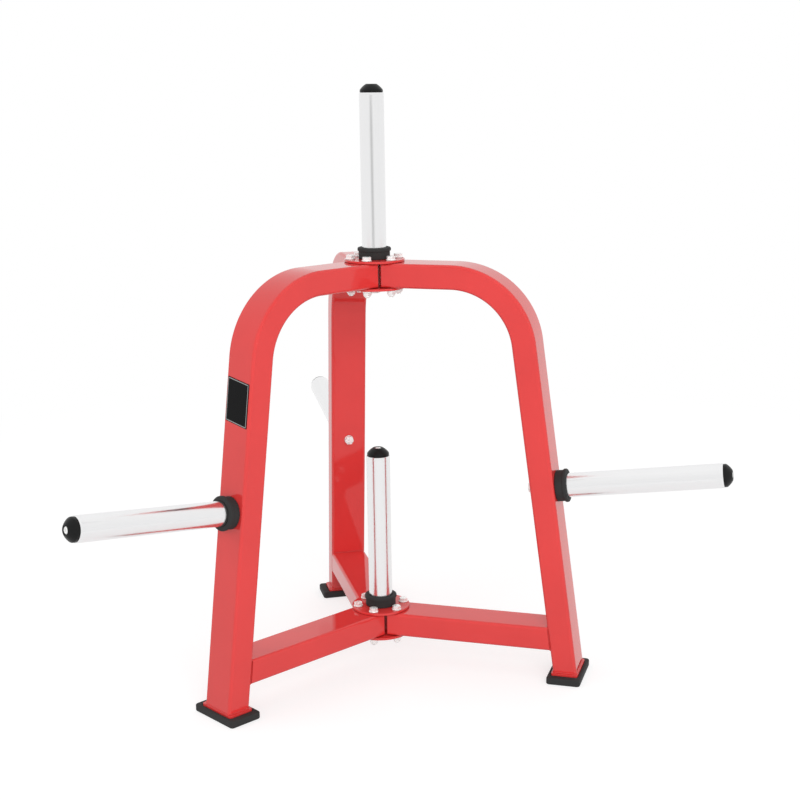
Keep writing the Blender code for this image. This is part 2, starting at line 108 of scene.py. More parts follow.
# Where a hexagon's chamfer starts, as a share of half its width across flats, and its slope
CHAMFER_START = 0.96
CHAMFER_SLOPE = math.radians(30)
# Depth of a thread, and where its crest starts and ends, as shares of its pitch
THREAD_DEPTH = 0.54
THREAD_CREST = (0.42, 0.58)
# How far a rod runs on into a head, and a tool past a face
BEYOND = 0.001
# Half the flat round a screw's socket, as a share of the socket's width
SOCKET_LAND = 0.68
# Gap that the frame leaves between pieces that touch
GAP = 0.0003
# Small edges of washers, recesses and the badge, and of pegs and caps
FINE_EDGE = 0.0003
PEG_EDGE = 0.0004
# Faces round turned pieces
WIDE_FACES = 128
CAP_FACES = 96
CHAMFER_FACES = 72
WASHER_FACES = 64
BOLT_FACES = 48
SCREW_FACES = 32
# Faces round a weld bead, and points along each of its ripples
BEAD_FACES = 10
RIPPLE_POINTS = 4
# How far a bead's size strays, how fast it follows, and a direction that no bead runs along
BEAD_STRAY = 0.06
BEAD_FOLLOW = 0.2
ACROSS_BEADS = Vector((0.3, 0.1, 1.0))
# Where most of a noise lies
MOST = (0.3, 0.7)
WHITE = (1.0, 1.0, 1.0, 1.0)


# What the frame says

def node_size(node):
    """Width, depth and height of a node's box."""
    low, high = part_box(node)
    return high - low


def node_middle(node):
    """Middle of a node's box."""
    low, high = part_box(node)
    return (low + high) / 2


def bottom_of(node):
    """Height of a node's lowest point."""
    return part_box(node)[0].z


def top_of(node):
    """Height of a node's highest point."""
    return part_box(node)[1].z


def peg_radius():
    """Half the width of a peg tube."""
    return node_size("top_peg_tube").x / 2


HUB_MIDDLE = node_middle("top_peg_tube")
HUB_AXIS = Vector((HUB_MIDDLE.x, HUB_MIDDLE.y, 0))


def hub_matrix(height):
    """Moves a piece to the hub axis, at a height."""
    return Matrix.Translation((HUB_AXIS.x, HUB_AXIS.y, height))


def bolt_spots(count):
    """Where the first hub bolts stand, seen from the hub axis."""
    return [node_middle(f"top_hub_bolt_{index + 1}") - HUB_AXIS for index in range(count)]


def leg_matrix(index):
    """Turns a leg's own frame to its place."""
    return Matrix.Translation(HUB_AXIS) @ Matrix.Rotation(REAR_AZIMUTH + index * LEG_SECTOR, 4, "Z")


# Sizes and colours that a user would change

def length(name, description, default):
    """A length in metres."""
    return FloatProperty(name=name, description=description, default=default, min=0.0,
                         precision=5, unit="LENGTH")


def angle(name, description, default):
    """An angle, whose default is given in degrees."""
    return FloatProperty(name=name, description=description, default=math.radians(default),
                         unit="ROTATION")


def amount(name, description, default):
    """A plain number that isn't negative."""
    return FloatProperty(name=name, description=description, default=default, min=0.0)


def colour(name, description, default):
    """A linear red, green and blue."""
    return FloatVectorProperty(name=name, description=description, default=default, size=3,
                               min=0.0, max=1.0, subtype="COLOR")


class RackTubeSizes(bpy.types.PropertyGroup):
    """Frame tube, one rectangular section for the legs and the stretchers"""

    width: length("Tube width", "Width across the leg", 0.080)
    depth: length("Tube depth", "Depth in the plane of the bend", 0.050)
    wall: length("Wall", "Wall of the tube", 0.003)
    corner: length("Corner radius", "Outer radius of the tube's corners", 0.006)
    bend_start: length("Bend start", "From the hub axis to the start of the bend", 0.170)
    bend_radius: length("Bend radius", "Centreline radius of the bend", 0.153)
    splay: angle("Splay", "Lean of the lower leg from the vertical", 7.5)
    mitre_gap: length("Mitre gap", "Seam between two tube ends at a hub", 0.006)
    seam: length("Seam", "Gap between a stretcher's end and its leg", 0.0003)
    end_plate: length("End plate", "Thickness of the plate that closes a mitred end", 0.003)
    corner_steps: IntProperty(name="Corner steps", description="Faces round a corner", default=6)
    bend_steps: IntProperty(name="Bend steps", description="Faces along the bend", default=48)


class RackWeldSizes(bpy.types.PropertyGroup):
    """Weld beads under the powder coat"""

    stretcher_bead: length("Stretcher bead", "Radius of the bead round a stretcher's end", 0.0022)
    foot_bead: length("Foot bead", "Radius of the bead round a leg's foot", 0.0017)
    inset: length("Side inset", "How far the bead lies inside the tubes' sides", 0.0042)
    ripple_pitch: length("Ripple pitch", "Distance between two ripples", 0.0021)
    ripple_height: amount("Ripple height", "Height of a ripple as a share of the radius", 0.11)


class RackHubSizes(bpy.types.PropertyGroup):
    """Hub plates and the bolts that clamp them"""

    plate_edge: length("Plate edge", "Rounding of the plates' edges", 0.0009)
    bolt: length("Bolt", "Thread diameter of a hub bolt", 0.010)
    bolt_hole: length("Bolt hole", "Hole for a hub bolt", 0.011)
    flats: length("Across flats", "Width across the flats of head and nut", 0.016)
    head: length("Head height", "Height of the bolt head", 0.0064)
    nut: length("Nut height", "Height of the lock nut with its collar", 0.0095)
    nut_collar: length("Nut collar height", "Height of the lock nut's round collar", 0.0030)
    nut_collar_width: length("Nut collar", "Diameter of the lock nut's round collar", 0.0142)
    washer: length("Washer", "Diameter of a washer", 0.020)
    washer_thickness: length("Washer thickness", "Thickness of a washer", 0.002)
    pitch: length("Pitch", "Thread pitch", 0.0015)
    tail: length("Tail", "Thread that stands out of the nut", 0.0025)


class RackPegSizes(bpy.types.PropertyGroup):
    """Plate pegs, their collars, caps and bolts"""

    wall: length("Wall", "Wall of a peg tube", 0.003)
    end_taper: length("End taper", "Length of the rounded far end", 0.0055)
    end_inset: length("End inset", "How far the far end is rounded in", 0.0011)
    web_depth: length("Web depth", "From the far end to the web inside", 0.024)
    web: length("Web", "Thickness of the web", 0.006)
    collar_body: length("Collar body", "Diameter of the collar below its lip", 0.0642)
    collar_lip: length("Collar lip height", "Height of the collar's lip", 0.008)
    collar_round: length("Collar rounding", "Rounding of the collar's lip", 0.0028)
    cap_flat: length("Cap flat", "Diameter of the cap's flat top", 0.0208)
    cap_flank: length("Cap flank", "Radius of the cap's flank between flat and corner", 0.040)
    cap_corner: length("Cap corner", "Radius of the corner between the cap's flank and its wall", 0.004)
    cap_slope: angle("Cap slope", "Lean of the cap's flank where its corner ends", 37)
    cap_recess: length("Cap recess", "Diameter of the recess in the cap", 0.0162)
    recess_depth: length("Recess depth", "Depth of the recess in the cap", 0.0068)
    screw_bore: length("Screw bore", "Hole for the cap screw", 0.0088)
    screw: length("Cap screw", "Thread diameter of the cap screw", 0.008)
    screw_head: length("Screw head", "Diameter of the cap screw's head", 0.0152)
    screw_head_height: length("Screw head height", "Height of the cap screw's head", 0.0052)
    socket: length("Socket", "Width across the flats of the screw's socket", 0.005)
    bolt: length("Peg bolt", "Thread diameter of a peg bolt", 0.012)
    bolt_hole: length("Peg bolt hole", "Hole for a peg bolt", 0.0132)
    flats: length("Across flats", "Width across the flats of a peg bolt's head", 0.018)
    head: length("Head height", "Height of a peg bolt's head", 0.0075)
    washer: length("Washer", "Diameter of a peg bolt's washer", 0.0205)
    washer_thickness: length("Washer thickness", "Thickness of that washer", 0.0025)


class RackFootSizes(bpy.types.PropertyGroup):
    """Foot plates and rubber feet"""

    plate_corner: length("Plate corner", "Corner radius of a foot plate", 0.006)
    plate_edge: length("Plate edge", "Rounding of a foot plate's edges", 0.0008)
    corner: length("Foot corner", "Corner radius of a rubber foot", 0.0065)
    edge: length("Foot edge", "Rounding of a rubber foot's edges", 0.003)
    recess: length("Recess", "Depth of the recess for the foot plate", 0.002)
    clearance: length("Clearance", "Room round the foot plate in its recess", 0.0006)


class RackBadgeSizes(bpy.types.PropertyGroup):
    """Bare badge on the left leg's outer face"""

    width: length("Width", "Width across the leg", 0.067)
    height: length("Height", "Height along the leg", 0.086)
    below_bend: length("Below the bend", "From the end of the bend to the badge's upper edge", 0.042)
    thickness: length("Thickness", "Thickness of the badge", 0.0009)
    corner: length("Corner", "Corner radius of the badge", 0.0022)
    lean: angle("Lean", "Slope of the badge's upper and lower edges across the leg", 7.1)
    border_inset: length("Border inset", "From the badge's edge to its border line", 0.0016)
    border: length("Border", "Width of the border line", 0.0015)
    border_rise: length("Border rise", "How far the border line stands proud", 0.00025)


class RackColours(bpy.types.PropertyGroup):
    """Colours of the finishes"""

    powder_coat: colour("Powder coat", "Red of the frame", (0.735, 0.0445, 0.0425))
    chrome: colour("Chrome", "Tint of the pegs", (0.84, 0.84, 0.845))
    rubber: colour("Rubber", "Black of the collars and feet", (0.0075, 0.0120, 0.0122))
    plastic: colour("Plastic", "Black of the caps", (0.0042, 0.0046, 0.0046))
    zinc: colour("Zinc", "Tint of the fasteners", (0.94, 0.94, 0.93))
    steel: colour("Steel", "Tint of the plugs inside the pegs", (0.42, 0.42, 0.43))
    enamel: colour("Enamel", "Black of the badge", (0.004, 0.004, 0.0045))


class RackStudio(bpy.types.PropertyGroup):
    """Camera, lamps, floor and background"""

    camera_place: FloatVectorProperty(name="Camera place", description="Where the camera stands",
                                      default=(-0.5828, -2.9873, 1.2143), unit="LENGTH")
    camera_heading: angle("Camera heading", "Turn of the camera to the right of +Y", 14.692)
    camera_pitch: angle("Camera pitch", "Tilt of the camera below the level", 12.649)
    camera_roll: angle("Camera roll", "Turn of the camera about its own axis", -0.428)
    focal_length: amount("Focal length", "Focal length of the camera in millimetres", 62.980)
    shift_x: FloatProperty(name="Shift X", description="Framing to the side", default=-0.060)
    sky_light: amount("Sky light", "Strength of the light from all round", 0.82)
    sky_zenith: amount("Sky zenith", "Strength of that light straight above", 0.52)
    seen_sky: amount("Seen sky", "Brightness of the background in the picture", 1.0)
    overhead: amount("Overhead", "Brightness of the sky overhead in reflections", 1.06)
    floor_size: length("Floor size", "Side of the square floor", 30.0)
    floor_white: amount("Floor white", "Albedo of the floor as a bounce card", 0.56)
    floor_seen: amount("Floor seen", "Albedo of the floor in the picture, which keeps shadows", 0.42)
    floor_glow: amount("Floor glow", "Light that is added to the floor in the picture", 0.67)
    floor_mirror: amount("Floor mirror", "Light that is added to the floor in chrome", 0.615)
    floor_fade: length("Floor fade", "Where the floor turns into plain background", 1.3)
    key_power: amount("Key power", "Power of the front lamp in watts", 132.0)
    key_size: length("Key size", "Side of the front lamp", 3.2)
    fill_power: amount("Fill power", "Power of the side lamp in watts", 30.0)
    back_power: amount("Back power", "Power of the lamp behind the rack in watts", 24.0)
    flag_grey: amount("Flag grey", "Brightness of the flag that chrome mirrors as a thin line", 0.66)
    flag_azimuth: angle("Flag azimuth", "Where the flag stands round the rack", 251.5)
    flag_reach: length("Flag reach", "From the hub axis to the flag", 0.45)
    flag_width: length("Flag width", "Width of the flag", 0.17)
    flag_low: length("Flag foot", "Height of the flag's lower edge", 0.82)
    flag_high: length("Flag top", "Height of the flag's upper edge", 1.20)


# Forms

def sections(width, depth, corner, steps):
    """A rounded rectangle as (across, up) points, with a point midway along its top and bottom."""
    points = []
    for quarter, (side, end) in enumerate(((1, 1), (-1, 1), (-1, -1), (1, -1))):
        for step in range(steps + 1):
            turn = (quarter + step / steps) * math.pi / 2
            points.append((side * (width / 2 - corner) + corner * math.cos(turn),
                           end * (depth / 2 - corner) + corner * math.sin(turn)))
        if quarter % 2 == 0:
            points.append((0.0, end * depth / 2))
    return points


def bridge(form, rings, looped=False):
    """Faces between rings of as many vertices, and from the last to the first in a loop."""
    for first, second in zip(rings, rings[1:] + rings[:looped]):
        count = len(first)
        for i in range(count):
            form.faces.new((first[i], first[(i + 1) % count], second[(i + 1) % count], second[i]))


def mesh_from(name, form):
    """Turn a bmesh into a mesh."""
    mesh = bpy.data.meshes.new(name)
    form.to_mesh(mesh)
    form.free()
    return mesh


def closed_mesh(name, form):
    """Turn a bmesh into a mesh that faces outward, smooth but for its sharp edges."""
    bmesh.ops.recalc_face_normals(form, faces=form.faces)
    return smoothed(mesh_from(name, form))


def smoothed(mesh):
    """Shade a mesh smooth but for its sharp edges."""
    mesh.shade_smooth()
    mesh.set_sharp_from_angle(angle=SHARP_EDGE)
    return mesh


def tube_form(name, stations, outer, inner, trims, end_plate):
    """A hollow tube through stations of (middle, up, along), each end slid along to its plane.

    Its first end comes to a ridge, and is closed by a plate. Its last end is open.
    """
    form = bmesh.new()
    open_ends = []
    for section, setback in ((outer, 0.0), (inner, end_plate)):
        rings = []
        for index, (middle, up, along) in enumerate(stations):
            ring = []
            for across, height in section:
                point = middle + Vector((0, across, 0)) + up * height
                if index == 0:
                    point += along * (trims[0](point) + setback)
                elif index == len(stations) - 1:
                    point += along * trims[1](point)
                ring.append(form.verts.new(point))
            rings.append(ring)
        bridge(form, rings)
        open_ends.append(rings[-1])
        ridge, half = len(section) // 4, len(section) // 2
        tip = rings[0][ridge:] + rings[0][:ridge]
        form.faces.new(tip[:half + 1])
        form.faces.new(tip[half:] + tip[:1])
    bridge(form, open_ends)
    return closed_mesh(name, form)


def arc(middle, radius, start, end, steps, height=None):
    """Points of an arc, both ends included, elliptic if its height differs. Angles are in degrees."""
    turns = (math.radians(start + (end - start) * i / steps) for i in range(steps + 1))
    height = radius if height is None else height
    return [(middle[0] + radius * math.cos(t), middle[1] + height * math.sin(t)) for t in turns]


def turned(name, profile, faces=BOLT_FACES):
    """Turn a closed profile of (radius, height) points round Z."""
    form = bmesh.new()
    rings = []
    for step in range(faces):
        turn = 2 * math.pi * step / faces
        rings.append([form.verts.new((r * math.cos(turn), r * math.sin(turn), z)) for r, z in profile])
    bridge(form, rings, looped=True)
    on_axis = [v for ring in rings for v in ring if v.co.xy.length < ON_AXIS]
    bmesh.ops.remove_doubles(form, verts=on_axis, dist=SAME_POINT)
    return closed_mesh(name, form)


def stacked(name, layers, steps=6, looped=False):
    """A closed solid through layers of (length, width, corner, height).

    Its first and last layers are filled, or joined to each other in a loop.
    """
    form = bmesh.new()
    rings = []
    for long_side, wide, corner, height in layers:
        outline = sections(long_side, wide, corner, steps)
        rings.append([form.verts.new((x, y, height)) for x, y in outline])
    bridge(form, rings, looped)
    if not looped:
        form.faces.new(rings[0])
        form.faces.new(rings[-1])
    return closed_mesh(name, form)


def inset_layers(long_side, wide, corner, steps):
    """Layers of a block, set in from its sides by steps of (inset, height)."""
    return [(long_side - 2 * inset, wide - 2 * inset, corner - inset / 2, z) for inset, z in steps]


def cylinder(name, diameter, low, high, faces=BOLT_FACES):
    """An upright prism of many faces or few."""
    form = bmesh.new()
    bmesh.ops.create_cone(form, cap_ends=True, segments=faces, radius1=diameter / 2,
                          radius2=diameter / 2, depth=high - low,
                          matrix=Matrix.Translation((0, 0, (low + high) / 2)))
    return mesh_from(name, form)


def drill(diameter, low, high, spot=(0.0, 0.0, 0.0)):
    """A tool for an upright hole."""
    tool = cylinder("drill", diameter, low, high)
    tool.transform(Matrix.Translation((spot[0], spot[1], 0)))
    return tool


def joined(name, meshes):
    """One mesh of several closed shells."""
    form = bmesh.new()
    for mesh in meshes:
        form.from_mesh(mesh)
    return smoothed(mesh_from(name, form))


def linked(name, data):
    """A new object in the scene."""
    made = bpy.data.objects.new(name, data)
    bpy.context.scene.collection.objects.link(made)
    return made


def cut(mesh, tools, operation="DIFFERENCE"):
    """Combine a mesh with tool meshes that don't touch each other."""
    work, tool = linked("work", mesh), linked("tools", joined("tools", tools))
    boolean = work.modifiers.new("cut", "BOOLEAN")
    boolean.operation = operation
    boolean.solver = "EXACT"
    boolean.object = tool
    bpy.context.view_layer.update()
    evaluated = work.evaluated_get(bpy.context.evaluated_depsgraph_get())
    made = bpy.data.meshes.new_from_object(evaluated)
    made.name = mesh.name
    for obj in (work, tool):
        bpy.data.objects.remove(obj, do_unlink=True)
    if not made.polygons:
        raise RuntimeError(f"{mesh.name} has no faces left after a cut")
    form = bmesh.new()
    form.from_mesh(made)
    bmesh.ops.remove_doubles(form, verts=form.verts, dist=SAME_POINT)
    form.to_mesh(made)
    form.free()
    return smoothed(made)


def chamfered_hexagon(flats, low, high, low_chamfer=True, high_chamfer=True):
    """A hexagon prism whose corners are turned off at one end or both."""
    corner = flats / math.sqrt(3)
    face = flats / 2 * CHAMFER_START
    beyond = corner + (corner - face) * math.tan(CHAMFER_SLOPE)
    chamfer = (beyond - face) * math.tan(CHAMFER_SLOPE)
    profile = [(0, low), (face if low_chamfer else beyond, low)]
    if low_chamfer:
        profile.append((beyond, low + chamfer))
    if high_chamfer:
        profile.append((beyond, high - chamfer))
    profile += [(face if high_chamfer else beyond, high), (0, high)]
    prism = cylinder("hexagon", 2 * corner, low, high, faces=6)
    return cut(prism, [turned("envelope", profile, CHAMFER_FACES)], "INTERSECT")


def washer(sizes, low, faces=BOLT_FACES):
    """A bolt's washer with broken edges, its lower face at a height."""
    rim, hole, edge = sizes.washer / 2, sizes.bolt_hole / 2, FINE_EDGE
    high = low + sizes.washer_thickness
    return turned("washer", [(hole, low), (rim - edge, low), (rim, low + edge),
                             (rim, high - edge), (rim - edge, high), (hole, high)], faces)


def threaded_rod(diameter, low, high, thread_high, pitch, faces=BOLT_FACES):
    """A rod from low to high, with thread ridges up to a height."""
    outer, root = diameter / 2, diameter / 2 - THREAD_DEPTH * pitch
    start, end = THREAD_CREST
    profile = [(0, low), (root, low)]
    height = low + pitch / 4
    while height + pitch / 2 < thread_high:
        profile += [(root, height), (outer, height + pitch * start), (outer, height + pitch * end)]
        height += pitch
    return turned("rod", [*profile, (outer, thread_high), (outer, high), (0, high)], faces)


# Placing pieces

def settled(name, mesh, matrix):
    """A copy of a mesh in its place, which keeps the coordinates that its grain follows."""
    mesh = mesh.copy()
    mesh.name = name
    grain = mesh.attributes.new("grain", "FLOAT_VECTOR", "POINT")
    shift = GRAIN_SHIFT * len(bpy.data.objects)
    for vertex, value in zip(mesh.vertices, grain.data):
        value.vector = vertex.co + shift
    mesh.transform(matrix)
    return mesh


def place(name, mesh, matrix, material, slot, *nodes):
    """Put a piece in the rack with its finish, in the stead of the frame's nodes."""
    if not mesh.polygons:
        raise RuntimeError(f"{name} has no faces")
    piece = linked(name, settled(name, mesh, matrix))
    piece.data.materials.append(material)
    weighted = piece.modifiers.new("even_normals", "WEIGHTED_NORMAL")
    weighted.keep_sharp = True
    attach(piece, "root")
    if nodes:
        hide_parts(*nodes)


def place_on_legs(pieces, outward=0.0):
    """Put pieces of (name, mesh, material, slot, replaced node) on each leg."""
    for index, leg in enumerate(LEG_NAMES):
        matrix = leg_matrix(index) @ Matrix.Translation((outward, 0, 0))
        for name, mesh, material, slot, *nodes in pieces:
            place(f"{leg}_{name}", mesh, matrix, material, slot, *(f"{leg}_{node}" for node in nodes))


# Finishes

def add_node(tree, kind, settings=(), **inputs):
    """Add a shader node. Its inputs are values or other nodes' outputs."""
    node = tree.nodes.new("ShaderNode" + kind)
    for key, value in dict(settings).items():
        setattr(node, key, value)
    for key, value in inputs.items():
        connect(tree, node.inputs[key.replace("_", " ")], value)
    return node


def connect(tree, socket, value):
    """Give an input its value, or link it to another node's output."""
    if isinstance(value, bpy.types.NodeSocket):
        tree.links.new(value, socket)
    else:
        socket.default_value = value


def add_ordered(tree, kind, values, operation=None):
    """Add a shader node whose inputs are given in their order."""
    node = tree.nodes.new("ShaderNode" + kind)
    if operation:
        node.operation = operation
    for socket, value in zip(node.inputs, values):
        connect(tree, socket, value)
    return node


def coordinates(tree, stretch=(1, 1, 1)):
    """The piece's own coordinates, stretched across a grain."""
    place_on = add_node(tree, "Attribute", {"attribute_name": "grain"}).outputs["Vector"]
    return add_node(tree, "Mapping", Vector=place_on, Scale=stretch).outputs["Vector"]


def noise(tree, vector, scale, detail):
    """Cloudy noise about a middle of 0.5."""
    made = add_node(tree, "TexNoise", Vector=vector, Scale=scale, Detail=detail, Roughness=0.5)
    return made.outputs["Fac"]


def remap(tree, value, span, new_span=(0.0, 1.0)):
    """Stretch what lies within a span over another, and hold what lies beyond."""
    made = add_node(tree, "MapRange", Value=value, From_Min=span[0], From_Max=span[1],
                    To_Min=new_span[0], To_Max=new_span[1])
    return made.outputs["Result"]


def calculate(tree, operation, first, second):
    """One step of arithmetic."""
    return add_ordered(tree, "Math", (first, second), operation).outputs["Value"]


def mix_colours(tree, factor, first, second):
    """The first colour at 0 and the second at 1."""
    node = tree.nodes.new("ShaderNodeMix")
    node.data_type = "RGBA"
    connect(tree, node.inputs[0], factor)
    connect(tree, node.inputs[6], first)
    connect(tree, node.inputs[7], second)
    return node.outputs[2]


def mix_shaders(tree, factor, first, second):
    """The first shader at 0 and the second at 1."""
    return add_ordered(tree, "MixShader", (factor, first, second)).outputs[0]


def white_glow(tree, kind, strength):
    """White light from a surface or from all round."""
    return add_node(tree, kind, Color=WHITE, Strength=strength).outputs[0]


def emptied(owner):
    """The node tree of a material or a world, without its nodes."""
    owner.use_nodes = True
    owner.node_tree.nodes.clear()
    return owner.node_tree


def edge_mask(tree, radius):
    """Near 1 on edges sharper than a radius, and 0 on flat and gently curved faces."""
    soft = add_node(tree, "Bevel", {"samples": 4}, Radius=radius).outputs["Normal"]
    true = add_node(tree, "NewGeometry").outputs["Normal"]
    likeness = add_ordered(tree, "VectorMath", (soft, true), "DOT_PRODUCT").outputs["Value"]
    gentle, sharp = 0.999, 0.93
    return remap(tree, likeness, (gentle, sharp))


def openness(tree, reach):
    """Near 0 in corners narrower than a reach, and 1 in the open: the mask by which the finishes paint
    shade into corners.
    """
    return add_node(tree, "AmbientOcclusion", {"samples": 6}, Distance=reach).outputs["AO"]


def shade(base, factor):
    """A colour made lighter or darker."""
    return (*(min(1.0, c * factor) for c in base), 1.0)


def uneven(tree, base, mask, low, high, span=MOST):
    """A colour between two shades of its base, as a mask goes from end to end of a span."""
    return mix_colours(tree, remap(tree, mask, span), shade(base, low), shade(base, high))


def edge_wear_and_shade(tree, body, edge, radius, share):
    """A colour that turns in part into another on edges sharper than a radius: wear on the rubber and
    zinc, painted shade on the powder coat.
    """
    return mix_colours(tree, calculate(tree, "MULTIPLY", edge_mask(tree, radius), share), body, edge)


def finish(tint, roughness, relief, metallic=0.0, gloss=0.5, depth=0.0001):
    """Turn a function that gives a finish's colour, roughness and height into one for its material."""
    def once_made(add_nodes):
        def material():
            """The finish's material, which is made only once."""
            name = add_nodes.__name__
            if name in bpy.data.materials:
                return bpy.data.materials[name]
            base = getattr(bpy.context.scene.rack_colours, tint)
            made = bpy.data.materials.new(name)
            made.use_nodes = True
            made.diffuse_color = (*base, 1.0)
            tree = made.node_tree
            inputs = tree.nodes["Principled BSDF"].inputs
            inputs["Base Color"].default_value = (*base, 1.0)
            inputs["Roughness"].default_value = roughness
            inputs["Metallic"].default_value = metallic
            inputs["Specular IOR Level"].default_value = gloss
            surface_colour, surface_roughness, height = add_nodes(tree, base)
            connect(tree, inputs["Base Color"], surface_colour)
            connect(tree, inputs["Roughness"], surface_roughness)
            bump = add_node(tree, "Bump", Strength=relief, Distance=depth, Height=height)
            connect(tree, inputs["Normal"], bump.outputs["Normal"])
            return made
        return material
    return once_made


@finish("powder_coat", roughness=0.1, gloss=0.42, relief=0.05, depth=0.0003)
def red_powder_coat(tree, base):
    """Gloss powder coat: slow colour drift, orange peel, painted shade on sharp edges, partly a thinner
    coat there, and painted shade in corners.
    """
    place_on = coordinates(tree)
    drift = uneven(tree, base, noise(tree, place_on, scale=7.0, detail=4.0), 0.95, 1.03)
    # Painted shade on sharp edges, standing in for the darker reflection that rounded edges pick up, and
    # in part a thinner coat there
    thin_coat_and_edge_shade = edge_wear_and_shade(tree, drift, shade(base, 0.45), radius=0.0022, share=0.42)
    # Painted shade in narrow corners, seams and joints, where ambient occlusion finds little open room
    painted_corner_shade = remap(tree, openness(tree, reach=0.0055), (0.2, 0.8), (0.6, 0.0))
    surface_colour = mix_colours(tree, painted_corner_shade, thin_coat_and_edge_shade, shade(base, 0.38))
    cloud = noise(tree, place_on, scale=26.0, detail=5.0)
    surface_roughness = remap(tree, cloud, (0.25, 0.75), (0.025, 0.07))
    peel = noise(tree, place_on, scale=420.0, detail=2.0)
    speck = noise(tree, place_on, scale=1500.0, detail=1.0)
    height = calculate(tree, "ADD", peel, calculate(tree, "MULTIPLY", speck, 0.25))
    return surface_colour, surface_roughness, height


@finish("chrome", roughness=0.18, metallic=1.0, relief=0.03)
def chrome_plate(tree, base):
    """Bright chrome with faint rubbing along the peg, where plates slide."""
    streaks = noise(tree, coordinates(tree, (900.0, 900.0, 6.0)), scale=1.0, detail=3.0)
    cloud = noise(tree, coordinates(tree), scale=18.0, detail=4.0)
    rubbed = calculate(tree, "MULTIPLY", remap(tree, streaks, (0.5, 0.8)),
                       remap(tree, cloud, (0.4, 0.7), (0.2, 1.0)))
    surface_roughness = remap(tree, rubbed, (0.0, 1.0), (0.21, 0.28))
    return mix_colours(tree, rubbed, (*base, 1.0), shade(base, 0.94)), surface_roughness, streaks


@finish("rubber", roughness=0.6, gloss=0.03, relief=0.2, depth=0.0002)
def black_rubber(tree, base):
    """Moulded rubber: matt, faintly mottled, with a fine grain, paler edges from wear and painted shade in
    its corners.
    """
    place_on = coordinates(tree)
    mottle = noise(tree, place_on, scale=60.0, detail=4.0)
    edges = edge_wear_and_shade(tree, uneven(tree, base, mottle, 0.82, 1.18), shade(base, 1.9), radius=0.0012, share=0.25)
    # Painted shade in the rubber's corners and recesses, from ambient occlusion
    corner = remap(tree, openness(tree, reach=0.010), (0.3, 0.8), (0.7, 0.0))
    surface_colour = mix_colours(tree, corner, edges, shade(base, 0.3))
    surface_roughness = remap(tree, mottle, MOST, (0.46, 0.64))
    return surface_colour, surface_roughness, noise(tree, place_on, scale=1400.0, detail=2.0)


@finish("plastic", roughness=0.35, gloss=0.2, relief=0.22, depth=0.00015)
def moulded_plastic(tree, base):
    """Satin moulded plastic with a fine spark-eroded grain."""
    place_on = coordinates(tree)
    tone = noise(tree, place_on, scale=90.0, detail=3.0)
    surface_colour = mix_colours(tree, tone, shade(base, 0.85), shade(base, 1.15))
    surface_roughness = remap(tree, tone, MOST, (0.28, 0.42))
    return surface_colour, surface_roughness, noise(tree, place_on, scale=2200.0, detail=2.0)


@finish("zinc", roughness=0.28, metallic=0.4, relief=0.03, depth=0.00005)
def zinc_plate(tree, base):
    """Bright zinc on fasteners: uneven sheen, faint spangle and rubbed corners."""
    place_on = coordinates(tree)
    spangle = add_node(tree, "TexVoronoi", Vector=place_on, Scale=700.0).outputs["Distance"]
    cloud = noise(tree, place_on, scale=160.0, detail=4.0)
    rubbed = edge_wear_and_shade(tree, uneven(tree, base, cloud, 0.90, 1.05), shade(base, 1.12), radius=0.0006, share=0.5)
    return rubbed, remap(tree, cloud, MOST, (0.22, 0.34)), spangle


@finish("steel", roughness=0.4, metallic=1.0, relief=0.2)
def turned_steel(tree, base):
    """Plain steel with tool marks and a thin film of oil."""
    place_on = add_node(tree, "TexCoord").outputs["Object"]
    marks = noise(tree, place_on, scale=1800.0, detail=2.0)
    stained = uneven(tree, base, noise(tree, place_on, scale=90.0, detail=5.0), 0.75, 1.1, (0.35, 0.65))
    return stained, remap(tree, marks, MOST, (0.30, 0.5)), marks


@finish("enamel", roughness=0.25, gloss=0.06, relief=0.08)
def badge_enamel(tree, base):
    """Black enamel of the badge, with a little dust in its gloss."""
    place_on = coordinates(tree)
    dust = noise(tree, place_on, scale=900.0, detail=3.0)
    tone = noise(tree, place_on, scale=45.0, detail=3.0)
    return uneven(tree, base, dust, 1.0, 2.2, (0.62, 0.78)), remap(tree, tone, MOST, (0.18, 0.32)), dust


@finish("zinc", roughness=0.3, metallic=1.0, relief=0.15, depth=0.00005)
def brushed_trim(tree, base):
    """Brushed bright metal of the badge's border line."""
    brushed = noise(tree, coordinates(tree, (60.0, 4000.0, 60.0)), scale=1.0, detail=2.0)
    surface_colour = mix_colours(tree, brushed, shade(base, 0.30), shade(base, 0.50))
    return surface_colour, remap(tree, brushed, MOST, (0.22, 0.38)), brushed


# Lines that the frame's tubes follow

